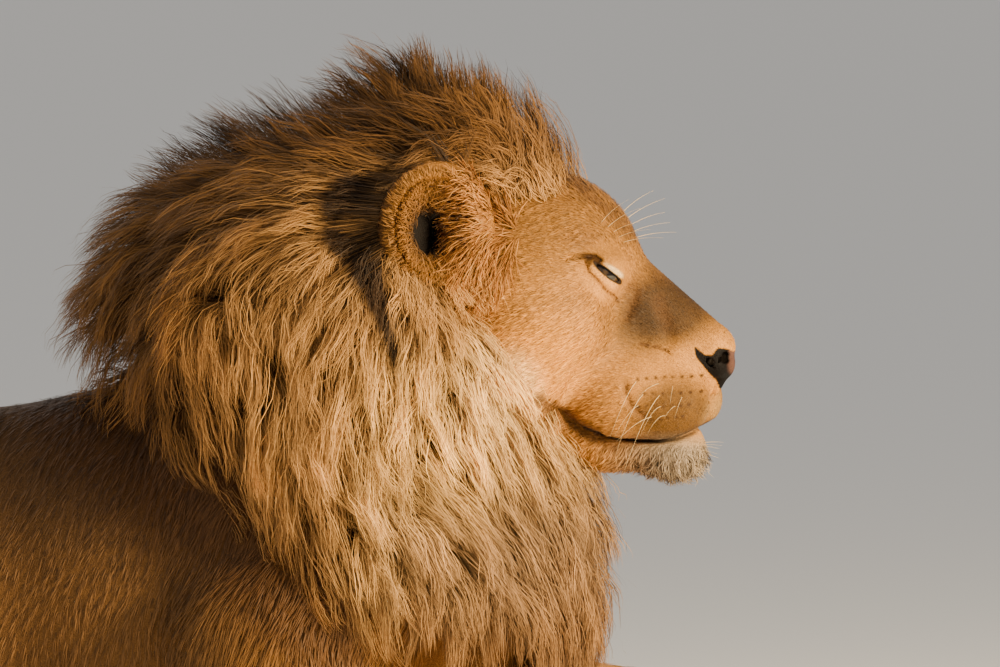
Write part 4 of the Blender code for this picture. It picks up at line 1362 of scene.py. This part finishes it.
def make_whiskers(material):
    """Whiskers from the pad, and a few long hairs over each eye and on the chin."""
    hairs = []  # root, direction, length and sag of each
    for side in (-1, 1):
        for x, z in (spot for k, spot in enumerate(SPOTS) if (k * 7) % 5 < 2):
            direction = (
                -0.50 + 0.30 * RNG.normal(), side * (0.8 + 0.3 * RNG.random()), -0.30 + 0.35 * RNG.normal()
            )
            length = (0.026 + 0.040 * RNG.random()) * (1.0 if x < 0.20 else 0.5)
            sag = -0.15, -side * 0.25, -0.45 - 0.45 * RNG.random()
            hairs.append(((x, side * 0.080, z), direction, length, sag))
        for k in range(5):
            root = 0.118 + 0.006 * k, side * (0.048 - 0.004 * k), 0.612 - 0.005 * k
            direction = 0.62 + 0.10 * k, side * (0.30 - 0.03 * k), 0.75 - 0.10 * k
            hairs.append((root, direction, 0.034 + 0.018 * RNG.random(), (0.10, side * 0.10, -0.18)))
        for k in range(7):
            root = 0.196 + 0.002 * k, side * (0.004 + 0.003 * k), 0.374 - 0.003 * k
            direction = 0.85, side * 0.15, 0.10 - 0.14 * k
            hairs.append((root, direction, 0.014 + 0.012 * RNG.random(), (0.0, 0.0, -0.10)))
    roots, directions, lengths, sags = (np.array(values) for values in zip(*hairs))
    roots = settle_inwards(roots.astype(F))
    s = np.linspace(0, 1, 9)[None, :, None]
    paths = roots[:, None] + lengths[:, None, None] * (unit(directions)[:, None] * s + sags[:, None] * s ** 2)
    radii = np.where(lengths > 0.04, 0.00026, 0.00020)[:, None] * np.linspace(1.0, 0.18, 9)[None]
    tube_piece("whiskers", paths, radii, CREAM * 1.1, material)


def settle_inwards(points):
    """Brings points that stand off the head sideways onto its skin."""
    for _ in range(14):
        value, slope = skin_field(points), field_slope(skin_field, points)
        points = points - unit(slope) * np.clip(value, -0.01, 0.01)[:, None] * 0.8
    return points


# ---------------------------------------------------------------- stage
FLOOR_HALF = 300.0
LIGHT_AIM, KEY_DISTANCE = Vector((0.08, 0.0, 0.48)), 1.8
CAMERA_AZIMUTH, CAMERA_ELEVATION, CAMERA_DISTANCE = 12.0, 5.0, 10.0
VIEW_WIDTH, VIEW_CENTRE_Z = 1.05, 0.4898  # metres across the frame, and height of its middle


def link(item):
    bpy.context.scene.collection.objects.link(item)
    return item


def make_stage():
    bm = bmesh.new()
    bmesh.ops.create_grid(bm, x_segments=1, y_segments=1, size=FLOOR_HALF)
    mesh = bpy.data.meshes.new("floor")
    bm.to_mesh(mesh)
    bm.free()
    material = bpy.data.materials.new("floor")
    material.use_nodes = True
    surface = material.node_tree.nodes["Principled BSDF"]
    surface.inputs["Base Color"].default_value = (0.78, 0.77, 0.76, 1.0)
    surface.inputs["Roughness"].default_value = 0.9
    mesh.materials.append(material)
    floor = link(bpy.data.objects.new("floor", mesh))


def lamp(name, kind, direction, power, colour, **shape):
    """A soft light that shines along a direction: a sun, or a square softbox aimed at the lion's head."""
    light = bpy.data.lights.new(name, kind)
    light.energy, light.color = power, colour
    for key, value in shape.items():
        setattr(light, key, value)
    holder = link(bpy.data.objects.new(name, light))
    aim = Vector(direction).normalized()
    holder.location = ORIGIN + LIGHT_AIM - aim * KEY_DISTANCE
    holder.rotation_mode = "QUATERNION"
    holder.rotation_quaternion = aim.to_track_quat("-Z", "Y")


def make_lights():
    world = bpy.data.worlds.new("studio")
    world.use_nodes = True
    world.node_tree.nodes["Background"].inputs["Color"].default_value = (1.0, 0.99, 0.97, 1.0)
    world.node_tree.nodes["Background"].inputs["Strength"].default_value = 0.35
    bpy.context.scene.world = world
    lamp("key", "AREA", (-0.82, 0.54, -0.22), 118.0, (1.0, 0.80, 0.48), size=0.40)
    lamp("fill", "SUN", (-0.5, 0.75, -0.6), 0.45, (1.0, 0.94, 0.86), angle=math.radians(40))
    lamp("back", "SUN", (0.45, -0.75, -0.55), 0.55, (1.0, 0.95, 0.88), angle=math.radians(50))


def make_camera():
    data = bpy.data.cameras.new("camera")
    camera = link(bpy.data.objects.new("camera", data))
    azimuth, elevation = math.radians(CAMERA_AZIMUTH), math.radians(CAMERA_ELEVATION)
    level_x, level_y = math.sin(azimuth) * math.cos(elevation), -math.cos(azimuth) * math.cos(elevation)
    back = Vector((level_x, level_y, math.sin(elevation)))
    camera.location = Vector((ORIGIN.x, ORIGIN.y, VIEW_CENTRE_Z)) + back * CAMERA_DISTANCE
    camera.rotation_mode = "QUATERNION"
    camera.rotation_quaternion = (-back).to_track_quat("-Z", "Y")
    data.sensor_width = 36.0
    data.lens = data.sensor_width * CAMERA_DISTANCE / VIEW_WIDTH
    data.clip_end = 1000.0
    bpy.context.scene.camera = camera


make_stage()
make_lights()
make_camera()
skin_piece = make_skin()
make_eye("right", -1)
make_eye("left", 1)
skin = Skin(skin_piece)
hair = tone_material("hair", 0.5, 0.18, sheen=0.05)
make_mane(skin, hair)
make_short_coat(skin, hair)
make_face_coat(skin, hair)
make_ear_hair(skin, hair)
make_tail_tuft(skin, hair)
make_whiskers(hair)
